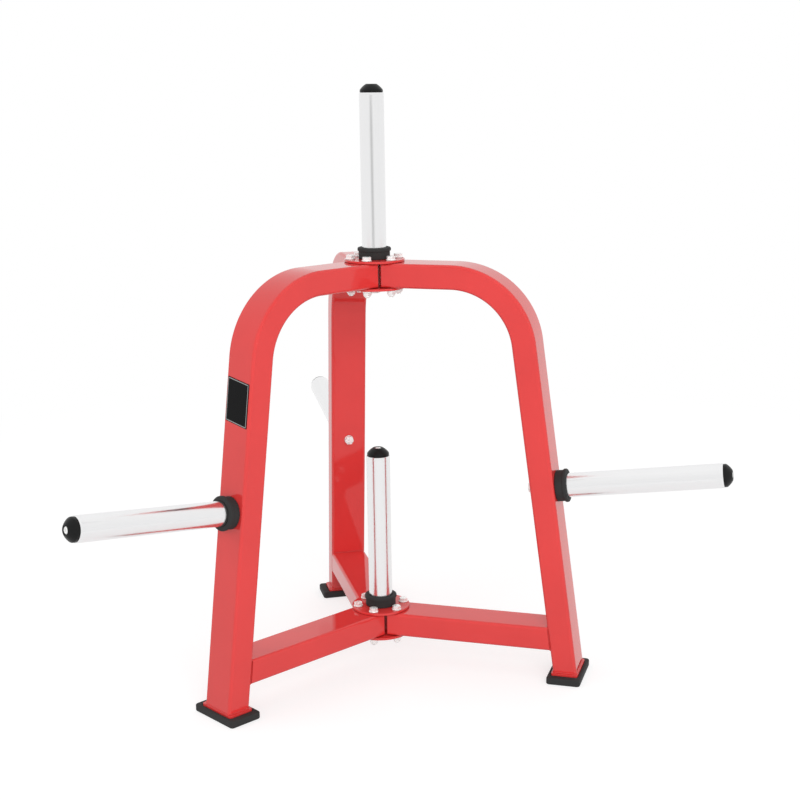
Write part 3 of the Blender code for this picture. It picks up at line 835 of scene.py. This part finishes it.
class LegLine:
    """Where a leg runs in its own frame, and where its faces stand."""

    def __init__(self, tubes):
        low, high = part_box("rear_leg_tube")
        self.tubes = tubes
        self.top = high.z
        self.bottom = low.z
        self.splay = tubes.splay
        self.outward = Vector((math.cos(self.splay), 0, math.sin(self.splay)))
        self.downward = Vector((math.sin(self.splay), 0, -math.cos(self.splay)))
        drop = tubes.bend_radius + tubes.depth / 2
        self.bend_middle = Vector((tubes.bend_start, 0, self.top - drop))

    def face_radius(self, bend, height):
        """Distance from the hub axis to the straight lower leg, at a distance from the bend's middle."""
        tangent = self.bend_middle + self.outward * bend
        return tangent.x + (tangent.z - height) * math.tan(self.splay)

    def inner_face(self, height):
        """Distance from the hub axis to the lower leg's inner face."""
        return self.face_radius(self.tubes.bend_radius - self.tubes.depth / 2, height)

    def stations(self):
        """Level run, bend and splayed run, as (middle, up, along)."""
        tubes = self.tubes
        up, along = Vector((0, 0, 1)), Vector((1, 0, 0))
        level = self.top - tubes.depth / 2
        found = [(Vector((0, 0, level)), up, along)]
        for step in range(tubes.bend_steps + 1):
            turn = math.pi / 2 + (self.splay - math.pi / 2) * step / tubes.bend_steps
            normal = Vector((math.cos(turn), 0, math.sin(turn)))
            ahead = Vector((math.sin(turn), 0, -math.cos(turn)))
            found.append((self.bend_middle + normal * tubes.bend_radius, normal, ahead))
        last = found[-1][0]
        reach = (last.z - self.bottom) / math.cos(self.splay) - tubes.depth
        found.append((last + self.downward * reach, self.outward, self.downward))
        return found

    def mitre(self, point):
        """How far a point of a hub end slides to its mitre plane."""
        half = LEG_SECTOR / 2
        tip = self.tubes.mitre_gap / 2 / math.sin(half)
        return tip + abs(point.y) / math.tan(half) - point.x

    def foot_cut(self, point):
        """How far a point of a leg's foot end slides to its level cut."""
        return (point.z - self.bottom) / math.cos(self.splay)

    def leg_joint(self, point):
        """How far a point of a stretcher's outer end slides to the leg's inner face."""
        return self.inner_face(point.z) - self.tubes.seam - point.x


def tube_sections(tubes):
    """Outer and inner outline of the tube."""
    outer = sections(tubes.width, tubes.depth, tubes.corner, tubes.corner_steps)
    inner = sections(tubes.width - 2 * tubes.wall, tubes.depth - 2 * tubes.wall,
                     tubes.corner - tubes.wall, tubes.corner_steps)
    return outer, inner


def hub_drills(low, high):
    """Tools for a tube end's two hub bolts and for the peg bolt at its tip."""
    scene = bpy.context.scene
    turned_back = Matrix.Rotation(-REAR_AZIMUTH, 4, "Z")
    spots = [turned_back @ spot for spot in bolt_spots(TUBE_BOLTS)]
    return [drill(scene.rack_pegs.bolt_hole, low, high),
            *(drill(scene.rack_hubs.bolt_hole, low, high, spot) for spot in spots)]


def side_peg_seat(splay):
    """A side peg's seat in its leg's frame, with Z along the peg, and the peg's length."""
    low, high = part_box("rear_peg_tube")
    radius = (high.x - low.x) / 2
    seat = Vector((low.y - HUB_AXIS.y + radius * math.sin(splay), 0, low.z + radius * math.cos(splay)))
    reach = (high.y - low.y - 2 * radius * math.sin(splay)) / math.cos(splay)
    return Matrix.Translation(seat) @ Matrix.Rotation(math.pi / 2 - splay, 4, "Y"), reach


def pegs():
    """Each peg's name, its seat's matrix and its length."""
    found = []
    for name in HUB_PEGS:
        low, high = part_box(name + "_tube")
        found.append((name, hub_matrix(low.z), high.z - low.z))
    seat, reach = side_peg_seat(bpy.context.scene.rack_tubes.splay)
    for index, name in enumerate(LEG_NAMES):
        found.append((name + "_peg", leg_matrix(index) @ seat, reach))
    return found


# Operators, one for each piece or group of like pieces

class RACK_OT_legs(bpy.types.Operator):
    """Make the three bent leg tubes, drilled for the hub bolts and the side peg's bolt"""

    bl_idname = "rack.legs"
    bl_label = "Legs"

    def execute(self, context):
        tubes = context.scene.rack_tubes
        line = LegLine(tubes)
        bar = tube_form("leg", line.stations(), *tube_sections(tubes), (line.mitre, line.foot_cut),
                        tubes.end_plate)
        tools = hub_drills(line.top - 2 * tubes.depth, line.top + tubes.depth)
        seat, _ = side_peg_seat(tubes.splay)
        across = drill(context.scene.rack_pegs.bolt_hole, -2 * tubes.depth, tubes.depth / 2)
        across.transform(seat)
        leg = cut(bar, [*tools, across])
        place_on_legs([("leg", leg, red_powder_coat(), "red_paint", "leg_tube")])
        return {"FINISHED"}


class RACK_OT_stretchers(bpy.types.Operator):
    """Make the three stretcher tubes between the lower hub and the legs"""

    bl_idname = "rack.stretchers"
    bl_label = "Stretchers"

    def execute(self, context):
        tubes = context.scene.rack_tubes
        line = LegLine(tubes)
        low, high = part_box("rear_stretcher")
        level = (low.z + high.z) / 2
        up, along = Vector((0, 0, 1)), Vector((1, 0, 0))
        ends = [(Vector((0, 0, level)), up, along), (Vector((high.y, 0, level)), up, along)]
        bar = tube_form("stretcher", ends, *tube_sections(tubes), (line.mitre, line.leg_joint),
                        tubes.end_plate)
        stretcher = cut(bar, hub_drills(low.z - tubes.depth, high.z + tubes.depth))
        place_on_legs([("brace", stretcher, red_powder_coat(), "red_paint", "stretcher")])
        return {"FINISHED"}


def bead(name, outline, radius, welds, seed):
    """A rippled weld bead along a closed line of points."""
    rand = random.Random(seed)
    corners = [Vector(point) for point in outline]
    spacing = welds.ripple_pitch / RIPPLE_POINTS
    line = []
    for first, second in zip(corners, corners[1:] + corners[:1]):
        count = max(1, round((second - first).length / spacing))
        line += [first.lerp(second, i / count) for i in range(count)]
    form = bmesh.new()
    rings = []
    travelled, swell = 0.0, 1.0
    for index, middle in enumerate(line):
        behind, ahead = line[index - 1], line[(index + 1) % len(line)]
        along = (ahead - behind).normalized()
        side = along.cross(ACROSS_BEADS).normalized()
        up = side.cross(along)
        travelled += (middle - behind).length if index else 0.0
        swell += (1 + rand.uniform(-BEAD_STRAY, BEAD_STRAY) - swell) * BEAD_FOLLOW
        wave = abs(math.sin(math.pi * travelled / welds.ripple_pitch))
        size = radius * swell * (1 - welds.ripple_height + welds.ripple_height * wave)
        turns = (2 * math.pi * i / BEAD_FACES for i in range(BEAD_FACES))
        points = (middle + size * (math.cos(turn) * side + math.sin(turn) * up) for turn in turns)
        rings.append([form.verts.new(point) for point in points])
    bridge(form, rings, looped=True)
    return closed_mesh(name, form)


class RACK_OT_welds(bpy.types.Operator):
    """Make the painted weld beads round the stretchers' ends and the legs' feet"""

    bl_idname = "rack.welds"
    bl_label = "Welds"

    def execute(self, context):
        tubes, welds = context.scene.rack_tubes, context.scene.rack_welds
        line = LegLine(tubes)
        low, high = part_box("rear_stretcher")
        middle = (low.z + high.z) / 2
        width = tubes.width - 2 * welds.inset
        joint = [(line.inner_face(middle + z), y, middle + z)
                 for y, z in sections(width, tubes.depth, tubes.corner / 2, tubes.corner_steps)]
        stretcher_bead = bead("stretcher_weld", joint, welds.stretcher_bead, welds, seed=3)
        plate_top = top_of("rear_foot_plate")
        centre = line.face_radius(tubes.bend_radius, plate_top)
        depth = tubes.depth / math.cos(tubes.splay)
        toe = [(centre + x, y, plate_top)
               for x, y in sections(depth, tubes.width, tubes.corner, tubes.corner_steps)]
        foot_bead = bead("foot_weld", toe, welds.foot_bead, welds, seed=5)
        place_on_legs([("stretcher_weld", stretcher_bead, red_powder_coat(), "red_paint"),
                       ("foot_weld", foot_bead, red_powder_coat(), "red_paint")])
        return {"FINISHED"}


class RACK_OT_feet(bpy.types.Operator):
    """Make the welded foot plates and the rubber feet that hold them"""

    bl_idname = "rack.feet"
    bl_label = "Feet"

    def execute(self, context):
        feet = context.scene.rack_feet
        plate = stacked("foot_plate", self.layers("rear_foot_plate", feet.plate_edge,
                                                  feet.plate_corner, steps=3))
        pad = self.rubber_foot(feet)
        place_on_legs([("plate", plate, red_powder_coat(), "red_paint", "foot_plate"),
                       ("pad", pad, black_rubber(), "black_rubber", "rubber_foot")],
                      node_middle("rear_foot_plate").y - HUB_AXIS.y)
        return {"FINISHED"}

    def layers(self, node, edge, corner, steps):
        """Layers of a block as large as a node, with rounded edges."""
        low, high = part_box(node)
        return inset_layers(high.y - low.y, high.x - low.x, corner, [
            *arc((edge, low.z + edge), edge, 270, 180, steps),
            *arc((edge, high.z - edge), edge, 180, 90, steps)])

    def rubber_foot(self, feet):
        """A rubber foot with a shallow recess for the foot plate."""
        top, plate = top_of("rear_rubber_foot"), node_size("rear_foot_plate")
        layers = self.layers("rear_rubber_foot", feet.edge, feet.corner, steps=5)
        lip = 0.0005
        for out, z in ((lip, top), (0.0, top - lip), (0.0, top - feet.recess)):
            room = 2 * (feet.clearance + out)
            layers.append((plate.y + room, plate.x + room, feet.plate_corner + out, z))
        return stacked("rubber_foot", layers)


class RACK_OT_hub_plates(bpy.types.Operator):
    """Make the round plates above and below each hub"""

    bl_idname = "rack.hub_plates"
    bl_label = "Hub plates"

    def execute(self, context):
        hubs, peg_sizes = context.scene.rack_hubs, context.scene.rack_pegs
        size = node_size("top_hub_upper_plate")
        radius, bore, edge = size.x / 2, peg_sizes.bolt_hole / 2, hubs.plate_edge
        profile = [(bore, 0), *arc((radius - edge, edge), edge, 270, 360, 4),
                   *arc((radius - edge, size.z - edge), edge, 0, 90, 4), (bore, size.z)]
        tools = [drill(hubs.bolt_hole, -size.z, 2 * size.z, spot) for spot in bolt_spots(HUB_BOLTS)]
        plate = cut(turned("hub_plate", profile, WIDE_FACES), tools)
        for hub in HUB_NAMES:
            for side in ("upper", "lower"):
                node = f"{hub}_{side}_plate"
                matrix = hub_matrix(bottom_of(node))
                place(f"{hub}_{side}_disc", plate, matrix, red_powder_coat(), "red_paint", node)
        return {"FINISHED"}


class RACK_OT_hub_bolts(bpy.types.Operator):
    """Make the twelve hub bolts with their washers and lock nuts"""

    bl_idname = "rack.hub_bolts"
    bl_label = "Hub bolts"

    def execute(self, context):
        hubs = context.scene.rack_hubs
        low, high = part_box("top_hub_bolt_1")
        bolt = self.bolt_mesh(hubs, low.z - high.z)
        for hub in HUB_NAMES:
            for index in range(1, HUB_BOLTS + 1):
                node = f"{hub}_bolt_{index}"
                spot = node_middle(node)
                turn = math.atan2(spot.y - HUB_AXIS.y, spot.x - HUB_AXIS.x)
                place_at = Matrix.Translation((spot.x, spot.y, top_of(node)))
                matrix = place_at @ Matrix.Rotation(turn, 4, "Z")
                place(f"{hub}_fastener_{index}", bolt, matrix, zinc_plate(), "zinc_steel", node)
        return {"FINISHED"}

    def bolt_mesh(self, hubs, end):
        """Head at height 0 and below, and the bolt's end at a negative height."""
        head_low = -hubs.head
        nut_low = end + hubs.tail
        nut_high = nut_low + hubs.nut
        thread_high = nut_high + 0.004
        head = chamfered_hexagon(hubs.flats, head_low, 0, low_chamfer=False)
        nut = chamfered_hexagon(hubs.flats, nut_low + hubs.nut_collar, nut_high)
        ring = self.nut_collar(hubs, nut_low)
        upper, lower = washer(hubs, head_low - hubs.washer_thickness), washer(hubs, nut_high)
        rod = threaded_rod(hubs.bolt, end, head_low + BEYOND, thread_high, hubs.pitch)
        return joined("hub_bolt", [head, nut, ring, upper, lower, rod])

    def nut_collar(self, hubs, low):
        """The round collar of a lock nut, which reaches a little into the nut."""
        play, overlap, hollow, flat, rounding = 0.0001, 0.0002, 0.0004, 0.0010, 0.0012
        bore, rim = hubs.bolt / 2 + play, hubs.nut_collar_width / 2
        high = low + hubs.nut_collar + overlap
        return turned("nut_collar", [
            (bore, low + hollow), (rim - rounding - flat, low),
            *arc((rim - rounding, low + rounding), rounding, 270, 360, 4),
            (rim, high), (bore, high)])


class RACK_OT_pegs(bpy.types.Operator):
    """Make the five chrome peg tubes with their rounded ends and inner webs"""

    bl_idname = "rack.pegs"
    bl_label = "Pegs"

    def execute(self, context):
        sizes = context.scene.rack_pegs
        made = {}
        for name, seat, reach in pegs():
            key = round(reach, 4)
            if key not in made:
                made[key] = self.peg_mesh(sizes, reach)
            place(name, made[key], seat, chrome_plate(), "chrome", name + "_tube")
        return {"FINISHED"}

    def peg_mesh(self, sizes, reach):
        """A peg tube with its seat at height 0, and its web as a part of it."""
        outer = peg_radius()
        inner, screw = outer - sizes.wall, sizes.screw_bore / 2
        web_high = reach - sizes.web_depth
        web_low = web_high - sizes.web
        end = arc((outer - sizes.end_inset, reach - sizes.end_taper), sizes.end_inset, 0, 90, 10,
                  height=sizes.end_taper)
        profile = [(inner, 0), (outer - PEG_EDGE, 0), (outer, PEG_EDGE), *end, (inner, reach),
                   (inner, web_high), (screw, web_high), (screw, web_low), (inner, web_low)]
        return turned("peg", profile, WIDE_FACES)


class RACK_OT_collars(bpy.types.Operator):
    """Make the rubber collars at the pegs' roots"""

    bl_idname = "rack.collars"
    bl_label = "Collars"

    def execute(self, context):
        collar = self.collar_mesh(context.scene.rack_pegs)
        gap = bottom_of("top_peg_collar") - bottom_of("top_peg_tube")
        for name, seat, _ in pegs():
            matrix = seat @ Matrix.Translation((0, 0, gap))
            place(name + "_buffer", collar, matrix, black_rubber(), "black_rubber", name + "_collar")
        return {"FINISHED"}

    def collar_mesh(self, sizes):
        """A collar whose lip is rounded less below than above."""
        size = node_size("top_peg_collar")
        body, lip, high = sizes.collar_body / 2, size.x / 2, size.z
        bore = peg_radius() + GAP
        low_lip = high - sizes.collar_lip
        edge, fillet, mouth, land = 0.0012, 0.0008, 0.0010, 0.0002
        above = sizes.collar_round
        below, rise = above * 0.5, above * 0.7
        return turned("collar", [
            (bore, 0), *arc((body - edge, edge), edge, 270, 360, 4),
            (body, low_lip - edge), *arc((body + fillet, low_lip), fillet, 180, 120, 3, height=edge),
            *arc((lip - above, low_lip + rise), above, 300, 360, 4, height=below),
            *arc((lip - above, high - above), above, 0, 90, 7),
            (bore + mouth + land, high), *arc((bore + mouth, high - mouth), mouth, 90, 180, 3),
        ], WIDE_FACES)


class RACK_OT_caps(bpy.types.Operator):
    """Make the domed end caps and the screws in their recesses"""

    bl_idname = "rack.caps"
    bl_label = "Caps"

    def execute(self, context):
        sizes = context.scene.rack_pegs
        tube_end = top_of("top_peg_tube")
        low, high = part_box("top_peg_cap")
        # The cap's wall and rim lie a little inside the solid's box, and the screw's dome below the rim
        inset, drop, dome_drop = 0.0006, 0.0003, 0.0001
        rim = high.z - tube_end - drop
        cap = self.cap_mesh(sizes, low.z - tube_end, rim, (high.x - low.x) / 2 - inset)
        low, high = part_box("top_peg_cap_screw")
        screw = self.screw_mesh(sizes, low.z - tube_end, high.z - tube_end, rim - dome_drop)
        for name, seat, reach in pegs():
            matrix = seat @ Matrix.Translation((0, 0, reach))
            place(name + "_dome", cap, matrix, moulded_plastic(), "black_plastic", name + "_cap")
            place(name + "_screw", screw, matrix, zinc_plate(), "zinc_steel", name + "_cap_screw")
        return {"FINISHED"}

    def cap_mesh(self, sizes, spigot_end, high, base):
        """A cap with its spigot below height 0, and a recess for the screw's head."""
        flat, recess, bore = sizes.cap_flat / 2, sizes.cap_recess / 2, sizes.screw_bore / 2
        spigot = peg_radius() - sizes.wall - GAP
        chamfer = 0.0006
        corner, flank, slope = sizes.cap_corner, sizes.cap_flank, sizes.cap_slope
        centre = base - corner - (flank - corner) * math.cos(slope)
        top = math.acos((flat - centre) / flank)
        shoulder = high - flank * math.sin(top) + (flank - corner) * math.sin(slope)
        start, end = math.degrees(slope), math.degrees(top)
        floor = high - sizes.recess_depth
        profile = [
            (bore, spigot_end), (spigot - chamfer, spigot_end), (spigot, spigot_end + chamfer),
            (spigot, GAP), (base - PEG_EDGE, GAP), (base, GAP + PEG_EDGE),
            *arc((base - corner, shoulder), corner, 0, start, 6),
            *arc((centre, high - flank * math.sin(top)), flank, start, end, 18)[1:],
            (recess + FINE_EDGE, high), (recess, high - FINE_EDGE), (recess, floor), (bore, floor),
        ]
        return turned("cap", profile, CAP_FACES)

    def screw_mesh(self, sizes, end, flat_top, dome_top):
        """A button head whose dome comes level with the cap's rim."""
        head_low = flat_top - sizes.screw_head_height
        wall, depth, pitch, overlap, neck = 0.0034, 0.0028, 0.00125, 0.0005, 0.001
        radius, land, edge = sizes.screw_head / 2, sizes.socket * SOCKET_LAND, head_low + wall
        dome = arc((land, edge), radius - land, 0, 90, 10, height=dome_top - edge)
        head = turned("screw_head", [(0, head_low), (radius, head_low), *dome, (0, dome_top)])
        socket = cylinder("socket", sizes.socket * 2 / math.sqrt(3), dome_top - depth,
                          dome_top + BEYOND, faces=6)
        rod = threaded_rod(sizes.screw, end, head_low + overlap, head_low - neck, pitch, SCREW_FACES)
        return joined("cap_screw", [cut(head, [socket]), rod])


class RACK_OT_peg_bolts(bpy.types.Operator):
    """Make the bolts that clamp the pegs, each with its washer"""

    bl_idname = "rack.peg_bolts"
    bl_label = "Peg bolts"

    def execute(self, context):
        sizes, splay = context.scene.rack_pegs, context.scene.rack_tubes.splay
        low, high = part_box("top_peg_bolt")
        seat_height = bottom_of("top_peg_tube")
        grip = high.z - seat_height
        long_bolt = self.bolt_mesh("hub_peg_bolt", sizes, low.z - seat_height, grip)
        side_low, side_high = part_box("rear_peg_bolt")
        reach = self.along(side_low, side_high, sizes, splay)
        short_bolt = self.bolt_mesh("side_peg_bolt", sizes, grip - reach, grip)
        for name, seat, _ in pegs():
            bolt = long_bolt if name in HUB_PEGS else short_bolt
            place(name + "_clamp", bolt, seat, zinc_plate(), "zinc_steel", name + "_bolt")
        return {"FINISHED"}

    def along(self, low, high, sizes, splay):
        """Length of the side bolt, from its box: its head's flats and its end lean with the peg."""
        lean = (sizes.flats / math.sqrt(3) + sizes.bolt / 2) * math.sin(splay)
        return (high.y - low.y - lean) / math.cos(splay)

    def bolt_mesh(self, name, sizes, low, high):
        """A bolt and its washer, from the head's lower face to the rod's chamfered end."""
        head_high = low + sizes.head
        head = chamfered_hexagon(sizes.flats, low, head_high, high_chamfer=False)
        radius, chamfer, start = sizes.bolt / 2, 0.001, low + sizes.head / 2
        rod = turned("rod", [(0, start), (radius, start), (radius, high - chamfer),
                             (radius - chamfer, high), (0, high)])
        return joined(name, [head, washer(sizes, head_high, WASHER_FACES), rod])


class RACK_OT_badge(bpy.types.Operator):
    """Make the bare badge with its border line on the left leg"""

    bl_idname = "rack.badge"
    bl_label = "Badge"

    def execute(self, context):
        badge, tubes = context.scene.rack_badge, context.scene.rack_tubes
        line = LegLine(tubes)
        face = line.bend_middle + line.outward * (tubes.bend_radius + tubes.depth / 2)
        lift = 0.0001
        middle = face + line.downward * (badge.below_bend + badge.height / 2) + line.outward * lift
        across = Vector((0, 1, 0)) + line.downward * math.tan(badge.lean)
        turn = Matrix((line.downward, across, line.outward)).transposed().to_4x4()
        matrix = leg_matrix(LEG_NAMES.index("left")) @ Matrix.Translation(middle) @ turn
        high = badge.thickness
        plate = stacked("badge", inset_layers(badge.height, badge.width, badge.corner, (
            (0, 0), (0, high - FINE_EDGE), (FINE_EDGE, high))))
        place("left_badge", plate, matrix, badge_enamel(), "black_plastic")
        place("left_badge_border", self.border_mesh(badge), matrix, brushed_trim(), "zinc_steel")
        return {"FINISHED"}

    def border_mesh(self, badge):
        """A thin raised line, a closed ring with its lower face in the badge."""
        sunk, outer = 0.0002, badge.border_inset
        inner = outer + badge.border
        low, high = badge.thickness - sunk, badge.thickness + badge.border_rise
        layers = inset_layers(badge.height, badge.width, badge.corner, (
            (outer, low), (outer, high), (inner, high), (inner, low)))
        return stacked("badge_border", layers, steps=5, looped=True)


class RACK_OT_plugs(bpy.types.Operator):
    """Give the threaded plugs inside the pegs their turned steel"""

    bl_idname = "rack.plugs"
    bl_label = "Plugs"

    def execute(self, context):
        for name, _, _ in pegs():
            plug = frame["nodes"][name + "_plug"]
            plug.data.materials.clear()
            plug.data.materials.append(turned_steel())
        return {"FINISHED"}


class RACK_OT_studio(bpy.types.Operator):
    """Make the floor, the background, the lamps and the camera"""

    bl_idname = "rack.studio"
    bl_label = "Studio"

    def execute(self, context):
        studio = context.scene.rack_studio
        context.scene.view_settings.view_transform = "Standard"
        self.floor(studio)
        self.background(context.scene, studio)
        self.flag(studio)
        for name, towards, distance, power in (
                ("key_lamp", (-0.02, -1.0, 0.28), 5.2, studio.key_power),
                ("fill_lamp", (-1.0, 0.1, 0.75), 5.0, studio.fill_power),
                ("back_lamp", (0.8, 1.0, 0.6), 5.0, studio.back_power)):
            self.lamp(name, Vector(towards).normalized() * distance, power, studio.key_size)
        self.camera(context.scene, studio)
        return {"FINISHED"}

    def floor(self, studio):
        """A wide level floor."""
        form = bmesh.new()
        bmesh.ops.create_grid(form, x_segments=2, y_segments=2, size=studio.floor_size / 2)
        mesh = mesh_from("floor", form)
        mesh.materials.append(self.floor_material(studio))
        linked("floor", mesh)

    def floor_material(self, studio):
        """A bounce card, which reads as white with a faint shadow in the picture and in chrome."""
        material = bpy.data.materials.new("studio_floor")
        tree = emptied(material)
        card = add_node(tree, "BsdfDiffuse", Color=shade(WHITE[:3], studio.floor_white)).outputs[0]
        seen = add_node(tree, "BsdfDiffuse", Color=shade(WHITE[:3], studio.floor_seen)).outputs[0]
        direct = add_node(tree, "LightPath").outputs["Is Camera Ray"]
        added = remap(tree, direct, (0.0, 1.0), (studio.floor_mirror, studio.floor_glow))
        lit = add_ordered(tree, "AddShader", (seen, white_glow(tree, "Emission", added))).outputs[0]
        mixed = mix_shaders(tree, self.seen_rays(tree), card, self.faded(tree, lit, studio))
        add_node(tree, "OutputMaterial", Surface=mixed)
        return material

    def faded(self, tree, near, studio):
        """Far from the rack the floor is as white as the background."""
        place_on = add_node(tree, "NewGeometry").outputs["Position"]
        reach = add_node(tree, "VectorMath", {"operation": "LENGTH"}, Vector=place_on).outputs["Value"]
        fade = remap(tree, reach, (studio.floor_fade, 2 * studio.floor_fade))
        return mix_shaders(tree, fade, near, white_glow(tree, "Emission", studio.seen_sky))

    def seen_rays(self, tree):
        """1 for rays that come from the camera, from a mirror or through glass."""
        path = add_node(tree, "LightPath").outputs
        first = calculate(tree, "MAXIMUM", path["Is Camera Ray"], path["Is Glossy Ray"])
        return calculate(tree, "MAXIMUM", first, path["Is Transmission Ray"])

    def background(self, scene, studio):
        """Soft light from all round, which is darker above, and white in the picture."""
        scene.world = bpy.data.worlds.new("studio")
        tree = emptied(scene.world)
        towards = add_node(tree, "TexCoord").outputs["Generated"]
        up = add_node(tree, "SeparateXYZ", Vector=towards).outputs["Z"]
        # Where the light dims and its reflection brightens, from 0 at the level to 1 straight up
        dimming, brightening = (0.3, 0.95), (0.35, 0.9)
        dimmed = remap(tree, up, dimming, (studio.sky_light, studio.sky_zenith))
        overhead = remap(tree, up, brightening, (studio.seen_sky, studio.overhead))
        light, mirrored = (white_glow(tree, "Background", strength) for strength in (dimmed, overhead))
        seen = white_glow(tree, "Background", studio.seen_sky)
        direct = add_node(tree, "LightPath").outputs["Is Camera Ray"]
        unseen = mix_shaders(tree, self.seen_rays(tree), light, mirrored)
        add_node(tree, "OutputWorld", Surface=mix_shaders(tree, direct, unseen, seen))

    def flag(self, studio):
        """A grey card in front of the top hub, which only mirrors show."""
        turn = Matrix.Rotation(studio.flag_azimuth, 4, "Z")
        half, low, high = studio.flag_width / 2, studio.flag_low, studio.flag_high
        corners = [HUB_AXIS + turn @ Vector((studio.flag_reach, across, up))
                   for across, up in ((-half, low), (half, low), (half, high), (-half, high))]
        mesh = bpy.data.meshes.new("flag")
        mesh.from_pydata(corners, [], [(0, 1, 2, 3)])
        material = bpy.data.materials.new("studio_flag")
        tree = emptied(material)
        add_node(tree, "OutputMaterial", Surface=white_glow(tree, "Emission", studio.flag_grey))
        mesh.materials.append(material)
        flag = linked("flag", mesh)
        flag.visible_camera = flag.visible_diffuse = flag.visible_shadow = False

    def lamp(self, name, offset, power, size):
        """A square soft box that faces the middle of the rack."""
        middle = (CAD_LOW + CAD_HIGH) / 2
        data = bpy.data.lights.new(name, "AREA")
        data.energy = power
        data.size = size
        lamp = linked(name, data)
        lamp.location = middle + offset
        lamp.rotation_euler = (-offset).to_track_quat("-Z", "Y").to_euler()
        lamp.visible_glossy = False

    def camera(self, scene, studio):
        """The camera that stands where the photo was taken."""
        data = bpy.data.cameras.new("camera")
        data.sensor_width = 36.0
        data.lens = studio.focal_length
        data.shift_x = studio.shift_x
        camera = linked("camera", data)
        turn = Matrix.Rotation(-studio.camera_heading, 4, "Z")
        tilt = Matrix.Rotation(math.pi / 2 - studio.camera_pitch, 4, "X")
        roll = Matrix.Rotation(studio.camera_roll, 4, "Z")
        camera.matrix_world = Matrix.Translation(studio.camera_place) @ turn @ tilt @ roll
        scene.camera = camera


class RACK_PT_panel(bpy.types.Panel):
    """Lists what makes the rack, in order"""

    bl_label = "Plate Rack"
    bl_idname = "RACK_PT_panel"
    bl_space_type = "VIEW_3D"
    bl_region_type = "UI"
    bl_category = "Plate Rack"

    def draw(self, context):
        for operator in OPERATORS:
            self.layout.operator(operator.bl_idname)


OPERATORS = (RACK_OT_legs, RACK_OT_stretchers, RACK_OT_welds, RACK_OT_feet, RACK_OT_hub_plates,
             RACK_OT_hub_bolts, RACK_OT_pegs, RACK_OT_collars, RACK_OT_caps, RACK_OT_peg_bolts,
             RACK_OT_badge, RACK_OT_plugs, RACK_OT_studio)
SETTINGS = {
    "rack_tubes": RackTubeSizes,
    "rack_welds": RackWeldSizes,
    "rack_hubs": RackHubSizes,
    "rack_pegs": RackPegSizes,
    "rack_feet": RackFootSizes,
    "rack_badge": RackBadgeSizes,
    "rack_colours": RackColours,
    "rack_studio": RackStudio,
}


def register():
    for group in SETTINGS.values():
        bpy.utils.register_class(group)
    for name, group in SETTINGS.items():
        setattr(bpy.types.Scene, name, PointerProperty(type=group))
    for cls in (*OPERATORS, RACK_PT_panel):
        bpy.utils.register_class(cls)


def unregister():
    for cls in reversed((*OPERATORS, RACK_PT_panel)):
        bpy.utils.unregister_class(cls)
    for name, group in reversed(SETTINGS.items()):
        delattr(bpy.types.Scene, name)
        bpy.utils.unregister_class(group)


def main():
    """Make the rack and its studio."""
    register()
    bpy.ops.rack.legs()
    bpy.ops.rack.stretchers()
    bpy.ops.rack.welds()
    bpy.ops.rack.feet()
    bpy.ops.rack.hub_plates()
    bpy.ops.rack.hub_bolts()
    bpy.ops.rack.pegs()
    bpy.ops.rack.collars()
    bpy.ops.rack.caps()
    bpy.ops.rack.peg_bolts()
    bpy.ops.rack.badge()
    bpy.ops.rack.plugs()
    bpy.ops.rack.studio()


if __name__ == "__main__":
    main()
